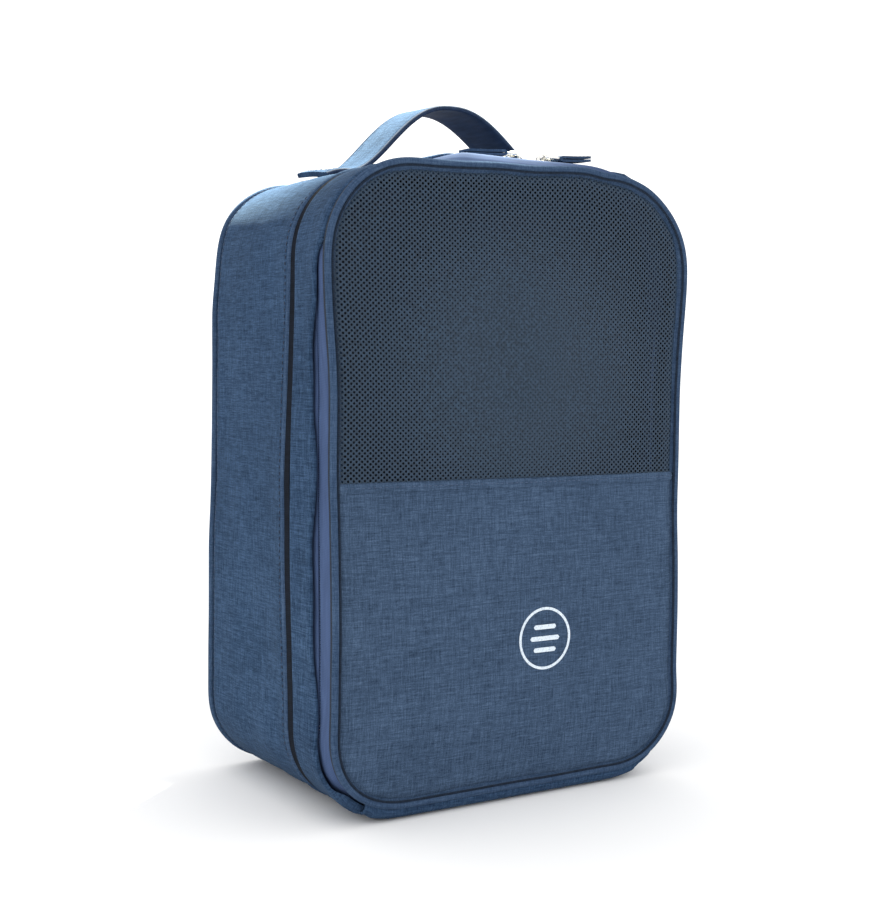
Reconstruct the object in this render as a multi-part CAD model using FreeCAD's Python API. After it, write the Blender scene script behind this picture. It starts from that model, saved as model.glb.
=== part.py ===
"""Shoe bag: a soft upright case, 200 wide, 130 deep and 300 tall, with a zipped front lid and a handle.

The bag stands on its gusset. Its front lid has a net window above a cloth panel and hinges on a strip of
cloth along the bottom edge. A zip runs up one side, over the top and down the other, with two sliders
that meet on the top. A divider behind the lid separates a shallow front space from the deep rear one.

Frame: millimetres, +Z up, the lid faces -Y, +X is to the right of someone facing the lid.
The origin is the middle of the base, on the floor.
"""
import FreeCAD
import Part

import math
import os

V = FreeCAD.Vector

# Driving dimensions
WIDTH = 200.0
DEPTH = 130.0
HEIGHT = 300.0
TOP_RADIUS = 44.0
BOTTOM_RADIUS = 38.0
LID_LIFT = 7.0            # height of the lid's lower edge above the floor
CORD = 5.0                # piping diameter

# Layers of the walls, each given as its inset from the outline
SKIN_INSET = 1.5          # outer cloth starts here
CLOTH = 1.5               # thickness of the cloth with its coating
FOAM = 2.5
LINING = 0.5
INNER_INSET = SKIN_INSET + CLOTH + FOAM + LINING

# Stations along the depth, front to rear
FRONT_Y = -DEPTH / 2
REAR_Y = DEPTH / 2
LID_CORD_Y = FRONT_Y + CORD / 2
REAR_CORD_Y = REAR_Y - CORD / 2
MID_CORD_Y = -25.5        # seam between the front strip and the rear gusset
ZIP_Y = -47.0             # line where the two halves of the zip meet
STRIP_EDGE_Y = -43.0      # folded edge of the strip that covers the zip
LID_SEAM_Y = FRONT_Y + CORD

# Zip
ZIP_GAP = 1.4             # clear gap between the two rows of coil, for the sliders' posts
ZIP_RISE = 8.0            # the stuffed bag pushes the zip this far above the piping along the top
ZIP_RADIUS = 56.0         # top corners of the raised zip
CROWN_Y = -55.0           # the lid's tape has risen to its full height here
TAPE_INSET = 3.5
TAPE = 0.8
COIL = 2.0                # thickness of a row of coil
COIL_WIDTH = 2.5
TAPE_HIDDEN_Y = -33.0     # where the body's tape ends, under the strip
STOP_SIZE = (1.4, 2.7, 4.0)
STOP_Z = BOTTOM_RADIUS + 6

# Hinge strip along the bottom
HINGE_HALF = 80.0
HINGE_CLOTH = 1.5
HINGE_FOLD = 1.2          # outer radius where the strip turns up
GAP = 0.3                 # clearance kept between pieces of different bodies

# Lid
LID_CLOTH_Y = FRONT_Y + 2.7     # rear face of the lid's cloth
LID_CLOTH = 1.2
NET = 0.8
WINDOW_Z = 152.0          # seam between the net window and the lower panel
HEM_HALF = 3.0
HEM = 0.8
BINDING = 1.2
MARK_X = 15.0
MARK_Z = 78.0
MARK_RADIUS = 15.0
MARK_LINE = 1.2
MARK = 0.3
BAR_HALF = 8.5            # half length of the middle bar
BAR_STEP = 5.5
BAR_THICK = 2.2

# Sliders and pulls
SLIDER_X = {"left": 7.0, "right": 25.0}
PULL_WAY = {"left": -1.0, "right": 1.0}
SLIDER_LENGTH = 11.0
PLATE_FRONT_Y = -51.0
PLATE_REAR_Y = STRIP_EDGE_Y - 0.2
PLATE = 1.2
PLATE_CORNER = 2.0
POST_HALF = 1.2
POST_SETBACK = 1.5        # from the slider's nose to the middle of its post
FLANGE = 0.8
FLANGE_RISE = 1.6
BRIDGE_HALF = 3.4
BRIDGE_CORNER = 1.6
BRIDGE = 1.8              # bridge width, and its height above the pin
PULL_PIN_Z = HEIGHT + ZIP_RISE
PULL_WIRE = 1.4
PULL_ARM = 3.2            # from the ring's middle to each arm
PULL_REACH = 8.0          # from the pin to the outer bar
TAB_LENGTH = 22.0
TAB_WIDTH = 9.0
TAB_THICK = 2.6
TAB_PAST = 1.6            # how far the tab's fold reaches past the outer bar
TAB_SLOT = 8.0

# Handle
HANDLE_Y = 17.0
HANDLE_WIDTH = 32.0
STRAP = 3.0
CORE = 1.0
CORE_MARGIN = 2.0
ARCH_X = 5.0              # apex of the arch
ARCH_LEFT = (60.0, 1.25)  # span from the apex to the foot, and how square the shoulder is
ARCH_RIGHT = (68.0, 1.1)
ARCH_RISE = 35.8
STRAP_ENDS = (-68.0, 84.0)
STRAP_DROPS = (1.0, 5.6)  # how far each sewn end falls below its foot of the arch

# Divider
DIVIDER_Y = -29.0         # rear face
DIVIDER_INSET = 8.5
DIVIDER_LOW = 12.0        # its lower edge, where it hinges
DIVIDER_BOTTOM_RADIUS = 45.0
DIVIDER_SKIN = 0.6
DIVIDER_FOAM = 2.0
DIVIDER_EDGE = 9.0
DIVIDER_TAPE = 0.5        # binding over each face
DIVIDER_SEW = 0.8         # the board stops this far inside its binding
LOOP_HALF = 9.0
LOOP_LOW = 262.0
LOOP_HIGH = 286.0
LOOP_DEPTH = 1.5
LOOP_WALL = 0.4
LOOP_END = 4.0
LOOP_SIDE = 3.0


def rounded_wire(half_width, low, high, top_radius, bottom_radius, y):
    """A rectangle in the plane Y = y with round corners, as a closed wire."""
    x = half_width
    diagonal = math.sqrt(0.5)

    def corner(side, centre_z, radius, up):
        centre_x = side * (x - radius)
        beside = V(side * x, y, centre_z)
        end = V(centre_x, y, centre_z + up * radius)
        middle = V(centre_x + side * radius * diagonal, y, centre_z + up * radius * diagonal)
        return beside, middle, end

    right_top = corner(1, high - top_radius, top_radius, 1)
    left_top = corner(-1, high - top_radius, top_radius, 1)
    right_low = corner(1, low + bottom_radius, bottom_radius, -1)
    left_low = corner(-1, low + bottom_radius, bottom_radius, -1)
    edges = [
        Part.LineSegment(right_low[0], right_top[0]),
        Part.Arc(*right_top),
        Part.LineSegment(right_top[2], left_top[2]),
        Part.Arc(left_top[2], left_top[1], left_top[0]),
        Part.LineSegment(left_top[0], left_low[0]),
        Part.Arc(*left_low),
        Part.LineSegment(left_low[2], right_low[2]),
        Part.Arc(right_low[2], right_low[1], right_low[0]),
    ]
    return Part.Wire([edge.toShape() for edge in edges])


def outline(inset, y, lift=0.0, floor_inset=None, rise=0.0):
    """The bag's outline in the plane Y = y, moved inwards by inset. floor_inset applies at the bottom, and
    rise lifts the top."""
    low_inset = inset if floor_inset is None else floor_inset
    top_radius = TOP_RADIUS + (ZIP_RADIUS - TOP_RADIUS) * rise / ZIP_RISE
    return rounded_wire(
        WIDTH / 2 - inset, lift + low_inset, HEIGHT + rise - inset,
        top_radius - inset, BOTTOM_RADIUS - inset, y,
    )


def plate(wire, y1):
    """A flat sheet: the area inside wire, drawn in a plane of constant Y, taken along to y1."""
    y0 = wire.BoundBox.YMin
    return Part.Face(wire).extrude(V(0, y1 - y0, 0))


def band(inset, thickness, y0, y1, lift=0.0, floor_inset=None):
    """A wall that follows the outline all the way round, from y0 to y1."""
    inner_floor = None if floor_inset is None else floor_inset + thickness
    outer = plate(outline(inset, y0, lift, floor_inset), y1)
    inner = plate(outline(inset + thickness, y0, lift, inner_floor), y1)
    return outer.cut(inner)


def zip_band(inset, thickness, stations):
    """A wall round the zip, open at the hinge strip. stations holds its (Y, rise) from front to rear."""
    walls = []
    for depth in (inset, inset + thickness):
        wires = [outline(depth, y, rise=rise) for y, rise in stations]
        walls.append(Part.makeLoft(wires, True, True))
    return without_hinge(walls[0].cut(walls[1]))


def box(x0, x1, y0, y1, z0, z1):
    """A box between two corners."""
    return Part.makeBox(x1 - x0, y1 - y0, z1 - z0, V(x0, y0, z0))


def without_hinge(shape):
    """shape with its bottom run taken away, where the hinge strip is."""
    return shape.cut(box(-HINGE_HALF, HINGE_HALF, FRONT_Y - 1, REAR_Y, -1, BOTTOM_RADIUS / 2))


def cord_loop(y, lift=0.0):
    """A round piping cord along the outline, made of straight runs and quarter rings."""
    inset = CORD / 2
    x = WIDTH / 2 - inset
    low, high = lift + inset, HEIGHT - inset
    top, bottom = TOP_RADIUS - inset, BOTTOM_RADIUS - inset
    across, up = V(1, 0, 0), V(0, 0, 1)
    pieces = [
        Part.makeCylinder(CORD / 2, 2 * (x - top), V(top - x, y, high), across),
        Part.makeCylinder(CORD / 2, 2 * (x - bottom), V(bottom - x, y, low), across),
    ]
    for side in (-1, 1):
        run = high - top - low - bottom
        pieces.append(Part.makeCylinder(CORD / 2, run, V(side * x, y, low + bottom), up))
        for radius, centre_z, way in ((top, high - top, 1), (bottom, low + bottom, -1)):
            circle = Part.Wire(Part.Circle(V(side * x, y, centre_z), up, CORD / 2).toShape())
            turn = -90 * side * way
            pieces.append(Part.Face(circle).revolve(V(side * (x - radius), y, centre_z), V(0, 1, 0), turn))
    return pieces[0].multiFuse(pieces[1:]).removeSplitter()


def rear_section():
    """Rear gusset, back panel and the piping and binding that join them."""
    inner_y = MID_CORD_Y + CORD / 2 + GAP
    back_skin_y = REAR_Y - 2.0
    back_foam_y = back_skin_y - CLOTH
    back_lining_y = back_foam_y - FOAM
    foam_inset = SKIN_INSET + CLOTH
    lining_inset = foam_inset + FOAM
    return {
        "rear_gusset": band(SKIN_INSET, CLOTH, inner_y, REAR_Y - CORD, floor_inset=0.0),
        "gusset_foam": band(foam_inset, FOAM, inner_y, back_lining_y - LINING),
        "gusset_lining": band(lining_inset, LINING, inner_y, back_lining_y - LINING),
        "back_panel": plate(outline(CORD, back_foam_y), back_skin_y),
        "back_foam": plate(outline(CORD + 1, back_lining_y), back_foam_y),
        "back_lining": plate(outline(CORD, back_lining_y - LINING), back_lining_y),
        "rear_binding": band(INNER_INSET, 7.0, back_lining_y - LINING - 1.2, back_lining_y - LINING),
        "rear_piping": cord_loop(REAR_CORD_Y),
        "mid_piping": cord_loop(MID_CORD_Y),
        "mid_binding": band(INNER_INSET + 0.1, 1.2, DIVIDER_Y + 1, inner_y + 8),
    }


def front_strip():
    """The strip in front of the middle seam, with the body's half of the zip."""
    rear_y = MID_CORD_Y - CORD / 2
    coil_y = ZIP_Y + ZIP_GAP / 2
    coil_inset = TAPE_INSET + TAPE
    lining_inset = coil_inset + COIL - LINING
    lining_y = PLATE_REAR_Y + FLANGE + GAP
    tape_y = TAPE_HIDDEN_Y
    slope = ZIP_RISE / (rear_y - STRIP_EDGE_Y)
    coil_rear_y = coil_y + COIL_WIDTH

    def rise(y):
        return slope * (rear_y - y)

    return {
        "front_gusset": zip_band(SKIN_INSET, CLOTH, [(STRIP_EDGE_Y, ZIP_RISE), (rear_y, 0)]),
        "strip_lining": zip_band(lining_inset, LINING, [(lining_y, rise(lining_y)), (rear_y, 0)]),
        "body_zip_tape": zip_band(TAPE_INSET, TAPE, [(coil_y, ZIP_RISE), (STRIP_EDGE_Y, ZIP_RISE),
                                                     (tape_y, rise(tape_y))]),
        "body_zip_coil": zip_band(coil_inset, COIL, [(coil_y, ZIP_RISE), (coil_rear_y, ZIP_RISE)]),
        "hinge_panel": hinge_panel(rear_y),
        "zip_end_stops": zip_end_stops(),
    }


def hinge_panel(rear_y):
    """The cloth strip that the lid folds on: flat on the floor, then turned up in front to the lid."""
    front = FRONT_Y + 2.5
    flat = box(-HINGE_HALF, HINGE_HALF, front, rear_y, 0, HINGE_CLOTH)
    lip = box(-HINGE_HALF, HINGE_HALF, front, front + HINGE_CLOTH, 0, LID_LIFT - GAP)
    strip = flat.fuse(lip).removeSplitter()
    fold = [e for e in strip.Edges if abs(e.BoundBox.YMax - front) < 1e-6 and abs(e.BoundBox.ZMax) < 1e-6]
    return strip.makeFillet(HINGE_FOLD, fold)


def zip_end_stops():
    """The metal stop at each lower end of the zip, crimped across the body's row of coil."""
    across, depth, tall = STOP_SIZE
    reach = WIDTH / 2 - TAPE_INSET - TAPE - COIL
    y = ZIP_Y + ZIP_GAP / 2
    z = STOP_Z - tall / 2
    return Part.makeCompound([
        box(-reach, across - reach, y, y + depth, z, z + tall),
        box(reach - across, reach, y, y + depth, z, z + tall),
    ])


def lid():
    """The front lid: net window over a cloth panel, in a piped edge with the lid's half of the zip."""
    cloth_y = LID_CLOTH_Y
    face_y = cloth_y - LID_CLOTH
    lining_y = cloth_y + FOAM
    tape_end = ZIP_Y - ZIP_GAP / 2
    coil_front = tape_end - COIL_WIDTH
    coil_inset = TAPE_INSET + TAPE
    pad_inset = CORD + 1
    frame_of = outline(CORD, cloth_y, LID_LIFT)
    upper = box(-WIDTH, WIDTH, FRONT_Y, ZIP_Y, WINDOW_Z, HEIGHT)
    lower = box(-WIDTH, WIDTH, FRONT_Y, ZIP_Y, 0, WINDOW_Z)
    hem_half = WIDTH / 2 - CORD - 0.5
    tape = [(LID_SEAM_Y, 0), (CROWN_Y, ZIP_RISE), (tape_end, ZIP_RISE)]
    binding = [(LID_SEAM_Y, 0), (CROWN_Y, ZIP_RISE), (coil_front - 1, ZIP_RISE)]
    return {
        "lid_piping": cord_loop(LID_CORD_Y, LID_LIFT),
        "net_window": plate(frame_of, cloth_y - NET).common(upper),
        "lower_panel": plate(frame_of, face_y).common(lower),
        "lower_foam": plate(outline(pad_inset, cloth_y, LID_LIFT), lining_y).common(lower),
        "lower_lining": plate(outline(pad_inset, lining_y, LID_LIFT), lining_y + LINING).common(lower),
        "window_hem": box(-hem_half, hem_half, face_y - HEM, face_y,
                          WINDOW_Z - HEM_HALF, WINDOW_Z + HEM_HALF),
        "lid_zip_tape": zip_band(TAPE_INSET, TAPE, tape),
        "lid_zip_coil": zip_band(coil_inset, COIL, [(coil_front, ZIP_RISE), (tape_end, ZIP_RISE)]),
        "lid_binding": zip_band(coil_inset, BINDING, binding),
        "emblem": emblem(face_y),
    }


def emblem(y):
    """A plain printed mark: a ring round three level bars."""
    start, along = V(MARK_X, y - MARK, MARK_Z), V(0, 1, 0)
    ring = Part.makeCylinder(MARK_RADIUS, MARK, start, along)
    ring = ring.cut(Part.makeCylinder(MARK_RADIUS - MARK_LINE, MARK, start, along))
    marks = [ring]
    for row in (-1, 0, 1):
        half = BAR_HALF - 2.0 * abs(row)
        z = MARK_Z + BAR_STEP * row - BAR_THICK / 2
        marks.append(box(MARK_X - half, MARK_X + half, y - MARK, y, z, z + BAR_THICK))
    return Part.makeCompound(marks)


def slider(name):
    """A zip slider: two plates, the post between the rows of coil, a rear flange and a bridge."""
    x = SLIDER_X[name]
    half = SLIDER_LENGTH / 2
    x0, x1 = x - half, x + half
    tape_z = HEIGHT + ZIP_RISE - TAPE_INSET
    coil_z = tape_z - TAPE - COIL
    top_z, low_z = tape_z + GAP, coil_z - GAP - PLATE
    top = box(x0, x1, PLATE_FRONT_Y, PLATE_REAR_Y, top_z, top_z + PLATE)
    upright = [e for e in top.Edges if abs(e.Length - PLATE) < 1e-6]
    top = top.makeFillet(PLATE_CORNER, upright)
    base = box(x0, x1, PLATE_FRONT_Y, PLATE_REAR_Y + FLANGE, low_z, low_z + PLATE)
    nose = x - PULL_WAY[name] * (half - POST_SETBACK)
    post = box(nose - POST_HALF, nose + POST_HALF, ZIP_Y - 0.4, ZIP_Y + 0.4, low_z, top_z + PLATE)
    flange = box(x0, x1, PLATE_REAR_Y, PLATE_REAR_Y + FLANGE, low_z, coil_z + FLANGE_RISE)
    crest = PULL_PIN_Z + BRIDGE
    bridge = box(x - BRIDGE_HALF, x + BRIDGE_HALF, ZIP_Y - BRIDGE / 2, ZIP_Y + BRIDGE / 2,
                 top_z + PLATE, crest)
    shoulders = [e for e in bridge.Edges
                 if abs(e.BoundBox.ZMin - crest) < 1e-6 and abs(e.Length - BRIDGE) < 1e-6]
    bridge = bridge.makeFillet(BRIDGE_CORNER, shoulders)
    eye = Part.makeCylinder(PULL_WIRE / 2 + 0.1, 2 * BRIDGE, V(x, ZIP_Y - BRIDGE, PULL_PIN_Z), V(0, 1, 0))
    return top.multiFuse([base, post, flange, bridge]).cut(eye).removeSplitter()


def pull_ring(name):
    """The wire ring that hangs in the slider's bridge: pin, two arms and the outer bar."""
    x, way = SLIDER_X[name], PULL_WAY[name]
    along, across = V(way, 0, 0), V(0, 1, 0)
    radius = PULL_WIRE / 2
    pieces = []
    for reach in (0.0, PULL_REACH):
        start = V(x + way * reach, ZIP_Y - PULL_ARM, PULL_PIN_Z)
        pieces.append(Part.makeCylinder(radius, 2 * PULL_ARM, start, across))
    for side in (-1, 1):
        start = V(x, ZIP_Y + side * PULL_ARM, PULL_PIN_Z)
        pieces.append(Part.makeCylinder(radius, PULL_REACH, start, along))
        for reach in (0.0, PULL_REACH):
            pieces.append(Part.makeSphere(radius, start + along * reach))
    return pieces[0].multiFuse(pieces[1:])


def pull_tab(name):
    """The cloth tab folded round the ring's outer bar, with a slot in the fold for the ring's arms."""
    x, way = SLIDER_X[name], PULL_WAY[name]
    bar = x + way * PULL_REACH
    fold, end = bar - way * TAB_PAST, bar + way * (TAB_LENGTH - TAB_PAST)
    y0, z0 = ZIP_Y - TAB_WIDTH / 2, PULL_PIN_Z - TAB_THICK / 2
    tab = box(min(fold, end), max(fold, end), y0, y0 + TAB_WIDTH, z0, z0 + TAB_THICK)
    hollow = Part.makeCylinder(PULL_WIRE / 2, TAB_WIDTH, V(bar, y0, PULL_PIN_Z), V(0, 1, 0))
    mouth = fold - way * 0.1
    slot = box(min(mouth, bar), max(mouth, bar), ZIP_Y - TAB_SLOT / 2, ZIP_Y + TAB_SLOT / 2,
               PULL_PIN_Z - PULL_WIRE / 2 - 0.1, PULL_PIN_Z + PULL_WIRE / 2 + 0.1)
    return tab.cut(hollow).cut(slot)


def strap_line(offset):
    """The handle's side profile, moved offset off its middle line, from the left end to the right end."""
    foot_z = HEIGHT - SKIN_INSET + STRAP / 2 + 0.7

    def height(x):
        span, shoulder = ARCH_LEFT if x < ARCH_X else ARCH_RIGHT
        away = abs(x - ARCH_X) / span
        if away < 1:
            return foot_z + ARCH_RISE * (1 + math.cos(math.pi * away ** shoulder)) / 2
        foot = ARCH_X + math.copysign(span, x - ARCH_X)
        end, drop = (STRAP_ENDS[0], STRAP_DROPS[0]) if x < ARCH_X else (STRAP_ENDS[1], STRAP_DROPS[1])
        return foot_z - drop * ((x - foot) / (end - foot)) ** 2

    points = []
    steps = 28
    for i in range(steps + 1):
        x = STRAP_ENDS[0] + (STRAP_ENDS[1] - STRAP_ENDS[0]) * i / steps
        slope = (height(x + 0.01) - height(x - 0.01)) / 0.02
        length = math.hypot(1, slope)
        points.append(V(x - offset * slope / length, 0, height(x) + offset / length))
    return points


def strap_solid(thickness, y0, y1):
    """A band of even thickness along the handle's profile."""
    upper, lower = strap_line(thickness / 2), strap_line(-thickness / 2)
    curves = []
    for points in (upper, lower):
        curve = Part.BSplineCurve()
        curve.interpolate([V(p.x, y0, p.z) for p in points])
        curves.append(curve.toShape())
    ends = [Part.LineSegment(V(upper[i].x, y0, upper[i].z), V(lower[i].x, y0, lower[i].z)).toShape()
            for i in (-1, 0)]
    wire = Part.Wire(Part.__sortEdges__(curves + ends))
    return Part.Face(wire).extrude(V(0, y1 - y0, 0))


def handle():
    """A cloth sleeve over a webbing core, sewn down at both ends."""
    y0, y1 = HANDLE_Y - HANDLE_WIDTH / 2, HANDLE_Y + HANDLE_WIDTH / 2
    core = strap_solid(CORE, y0 + CORE_MARGIN, y1 - CORE_MARGIN)
    return {"handle_sleeve": strap_solid(STRAP, y0, y1).cut(core), "handle_core": core}


def divider_wire(inset, y):
    """The divider's outline, moved inwards by inset."""
    return rounded_wire(
        WIDTH / 2 - DIVIDER_INSET - inset, DIVIDER_LOW + inset, HEIGHT - DIVIDER_INSET - inset,
        TOP_RADIUS - DIVIDER_INSET - inset, DIVIDER_BOTTOM_RADIUS - inset, y,
    )


def divider():
    """The inner flap: foam between two skins, with a bound edge and a pull loop at the top."""
    rear = DIVIDER_Y
    foam_rear = rear - DIVIDER_SKIN
    foam_front = foam_rear - DIVIDER_FOAM
    front = foam_front - DIVIDER_SKIN
    edge_front, edge_rear = front - DIVIDER_TAPE, rear + DIVIDER_TAPE
    edge = plate(divider_wire(0, edge_front), edge_rear)
    edge = edge.cut(plate(divider_wire(DIVIDER_EDGE, edge_front), edge_rear))
    board = plate(divider_wire(DIVIDER_SEW, front), rear)
    loop_y = edge_front - LOOP_DEPTH
    tab = box(-LOOP_HALF, LOOP_HALF, loop_y, edge_front, LOOP_LOW, LOOP_HIGH)
    slot = box(LOOP_SIDE - LOOP_HALF, LOOP_HALF - LOOP_SIDE, loop_y + LOOP_WALL, edge_front - LOOP_WALL,
               LOOP_LOW + LOOP_END, LOOP_HIGH - LOOP_END)
    return {
        "divider_front": plate(divider_wire(DIVIDER_SEW, front), foam_front),
        "divider_foam": plate(divider_wire(DIVIDER_SEW, foam_front), foam_rear),
        "divider_rear": plate(divider_wire(DIVIDER_SEW, foam_rear), rear),
        "divider_binding": edge.cut(board),
        "divider_loop": tab.cut(slot),
    }


def check_and_save(nodes):
    """Writes one STEP file for each node."""
    os.makedirs("parts", exist_ok=True)
    for name, shape in sorted(nodes.items()):
        solids = shape.Solids
        good = shape.isValid() and solids and all(s.isClosed() and s.Volume > 0 for s in solids)
        if not good:
            raise ValueError("node %s is not a closed solid" % name)
        out = solids[0] if len(solids) == 1 else Part.makeCompound(solids)
        out.exportStep("parts/%s.step" % name)


def main():
    nodes = {}
    for section in (rear_section(), front_strip(), lid(), handle(), divider()):
        nodes.update(section)
    for name in SLIDER_X:
        nodes["slider_" + name] = slider(name)
        nodes["pull_ring_" + name] = pull_ring(name)
        nodes["pull_tab_" + name] = pull_tab(name)
    check_and_save(nodes)


main()
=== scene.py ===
import math

import bmesh
import bpy
import numpy as np
from mathutils import Matrix, Vector


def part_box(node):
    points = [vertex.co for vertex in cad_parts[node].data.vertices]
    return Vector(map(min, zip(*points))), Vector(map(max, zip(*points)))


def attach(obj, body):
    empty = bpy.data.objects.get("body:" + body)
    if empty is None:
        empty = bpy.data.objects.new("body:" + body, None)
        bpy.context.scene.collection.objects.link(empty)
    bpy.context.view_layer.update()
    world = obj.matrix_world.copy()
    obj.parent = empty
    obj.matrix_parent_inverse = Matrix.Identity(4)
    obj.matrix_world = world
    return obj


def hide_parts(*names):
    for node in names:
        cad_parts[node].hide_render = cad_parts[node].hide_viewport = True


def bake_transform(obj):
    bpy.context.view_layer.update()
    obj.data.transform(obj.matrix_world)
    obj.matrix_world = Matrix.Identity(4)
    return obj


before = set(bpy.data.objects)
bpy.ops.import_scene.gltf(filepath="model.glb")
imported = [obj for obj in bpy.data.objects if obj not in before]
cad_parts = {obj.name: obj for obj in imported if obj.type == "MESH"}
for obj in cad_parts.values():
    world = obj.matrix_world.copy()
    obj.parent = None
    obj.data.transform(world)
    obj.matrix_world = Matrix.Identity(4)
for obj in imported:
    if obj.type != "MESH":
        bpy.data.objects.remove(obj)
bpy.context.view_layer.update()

MM = 0.001
PI = math.pi
REARWARD = np.array([0, 1.0, 0])
STATIONS = np.arange(10)


def middle(node):
    """The centre of a CAD node's box."""
    low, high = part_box(node)
    return (low + high) / 2


# ---- sizes, read from the frame
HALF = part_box("rear_piping")[1].x
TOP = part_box("rear_piping")[1].z
CORD = (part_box("rear_piping")[1].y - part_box("rear_piping")[0].y) / 2
REAR_Y = middle("rear_piping").y
MID_Y = middle("mid_piping").y
LID_Y = middle("lid_piping").y
LID_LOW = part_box("lid_piping")[0].z
ZIP_Y = middle("slider_left").y
TAPE_FRONT_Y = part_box("lid_zip_tape")[0].y
ZIP_LINE_Y = (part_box("lid_zip_tape")[1].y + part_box("body_zip_tape")[0].y) / 2
SEAM_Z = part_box("net_window")[0].z
HINGE_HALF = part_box("hinge_panel")[1].x

# How far the zip's tapes lie inside the walls, and the radii of the bag's corners and of the line that the
# stuffing raises along the zip
TAPE_INSET = 3.5 * MM
ZIP_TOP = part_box("lid_zip_tape")[1].z + TAPE_INSET
TOP_RADIUS = 44 * MM
BOTTOM_RADIUS = 38 * MM
ZIP_RADIUS = 56 * MM

# Colours, linear
NAVY = (0.043, 0.072, 0.125)
NAVY_DARK = (0.020, 0.035, 0.063)
NAVY_LIGHT = (0.078, 0.124, 0.204)
# Darker copies of the navy melange colours: painted shade on the rear gusset, front strip, hinge strip and
# strap, which are the same cloth as the panels. The piping's darkest tone is this shaded one too
SHADED_NAVY = (0.0262, 0.052, 0.103)
SHADED_NAVY_DARK = (0.0126, 0.0255, 0.051)
SHADED_NAVY_LIGHT = (0.051, 0.094, 0.172)
TAPE_BLUE = (0.048, 0.078, 0.165)
LINING_DARK = (0.012, 0.016, 0.026)


# ---- soft shapes
def ease(x, low, high):
    """0 before low, 1 after high, and smooth between them."""
    t = np.clip((x - low) / (high - low), 0, 1)
    return t * t * (3 - 2 * t)


def curve(x, *knots):
    """Eases from one (x, value) knot to the next."""
    total = knots[0][1]
    for (start, low), (end, high) in zip(knots, knots[1:]):
        total = total + (high - low) * ease(x, start, end)
    return total


def drift(u, v, cell, seed, around=None):
    """Smooth random heights from about -1 to 1, whose bumps are about cell across. around closes u on
    itself."""
    table = np.random.default_rng(seed).uniform(-1, 1, (64, 64))
    cells = 64 if around is None else max(1, round(around / cell))
    a = np.asarray(u, float) / (cell if around is None else around / cells)
    b = np.asarray(v, float) / cell
    i, j = np.floor(a).astype(int), np.floor(b).astype(int)
    fa, fb = ease(a - i, 0, 1), ease(b - j, 0, 1)

    def value(di, dj):
        return table[(i + di) % cells % 64, (j + dj) % 64]

    near = value(0, 0) * (1 - fa) + value(1, 0) * fa
    far = value(0, 1) * (1 - fa) + value(1, 1) * fa
    return near * (1 - fb) + far * fb


def unit(vectors):
    """The same directions, each of length 1."""
    return vectors / np.linalg.norm(vectors, axis=-1, keepdims=True)


def lengths_along(points):
    """How far along the line through points each of them lies."""
    return np.concatenate([[0], np.cumsum(np.linalg.norm(np.diff(points, axis=0), axis=1))])


def upright(flat, y):
    """Points of the XZ plane placed at depth y, or its directions in space with y of 0."""
    return np.stack([flat[..., 0], np.broadcast_to(y, flat.shape[:-1]), flat[..., 1]], -1)


class Outline:
    """A rounded outline in the XZ plane. A place on it is a station: 0 is the middle of its bottom edge,
    and 1 to 8 are the ends of its straight runs in turn, by way of +X and the top, to 9 at the start."""

    def __init__(self, low, top=TOP, radius=TOP_RADIUS, soften=7 * MM, step=0.25 * MM):
        rise = top - low - radius - BOTTOM_RADIUS
        lower, upper = PI / 2 * BOTTOM_RADIUS, PI / 2 * radius
        floor, roof = HALF - BOTTOM_RADIUS, 2 * (HALF - radius)
        runs = [floor, lower, rise, upper, roof, upper, rise, lower, floor]
        self.knots = np.concatenate([[0], np.cumsum(runs)])
        self.length = self.knots[-1]
        self.s = np.linspace(0, self.length, round(self.length / step) + 1)
        turn = np.interp(self.s, self.knots, np.radians([0, 0, 90, 90, 180, 180, 270, 270, 360, 360]))
        reach = round(soften / step)
        longer = np.concatenate([turn[:-1][-reach:] - 2 * PI, turn, turn[1:][:reach] + 2 * PI])
        self.turn = np.convolve(longer, np.ones(2 * reach + 1) / (2 * reach + 1), "valid")
        x = np.cumsum(np.cos(self.turn)) * step
        z = np.cumsum(np.sin(self.turn)) * step
        self.x = (x - (x.max() + x.min()) / 2) * 2 * HALF / np.ptp(x)
        self.z = low + (z - z.min()) * (top - low) / np.ptp(z)

    def length_at(self, station):
        return np.interp(station, STATIONS, self.knots)

    def station_at(self, length):
        return np.interp(length, self.knots, STATIONS)

    def at(self, station, inset=0.0):
        """Points moved in by inset, and the outward normals there."""
        s = self.length_at(station)
        turn = np.interp(s, self.s, self.turn)
        out = np.stack([np.sin(turn), -np.cos(turn)], -1)
        place = np.stack([np.interp(s, self.s, self.x), np.interp(s, self.s, self.z)], -1)
        return place - out * np.asarray(inset)[..., None], out


BAG = Outline(0.0)
LID = Outline(LID_LOW)
RAISED = Outline(0.0, ZIP_TOP, ZIP_RADIUS)


def stations(first, last, step):
    """Stations from first to last, step apart along the outline."""
    ends = BAG.length_at(first), BAG.length_at(last)
    count = max(2, round((ends[1] - ends[0]) / step))
    return BAG.station_at(np.linspace(*ends, count + 1))


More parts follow.
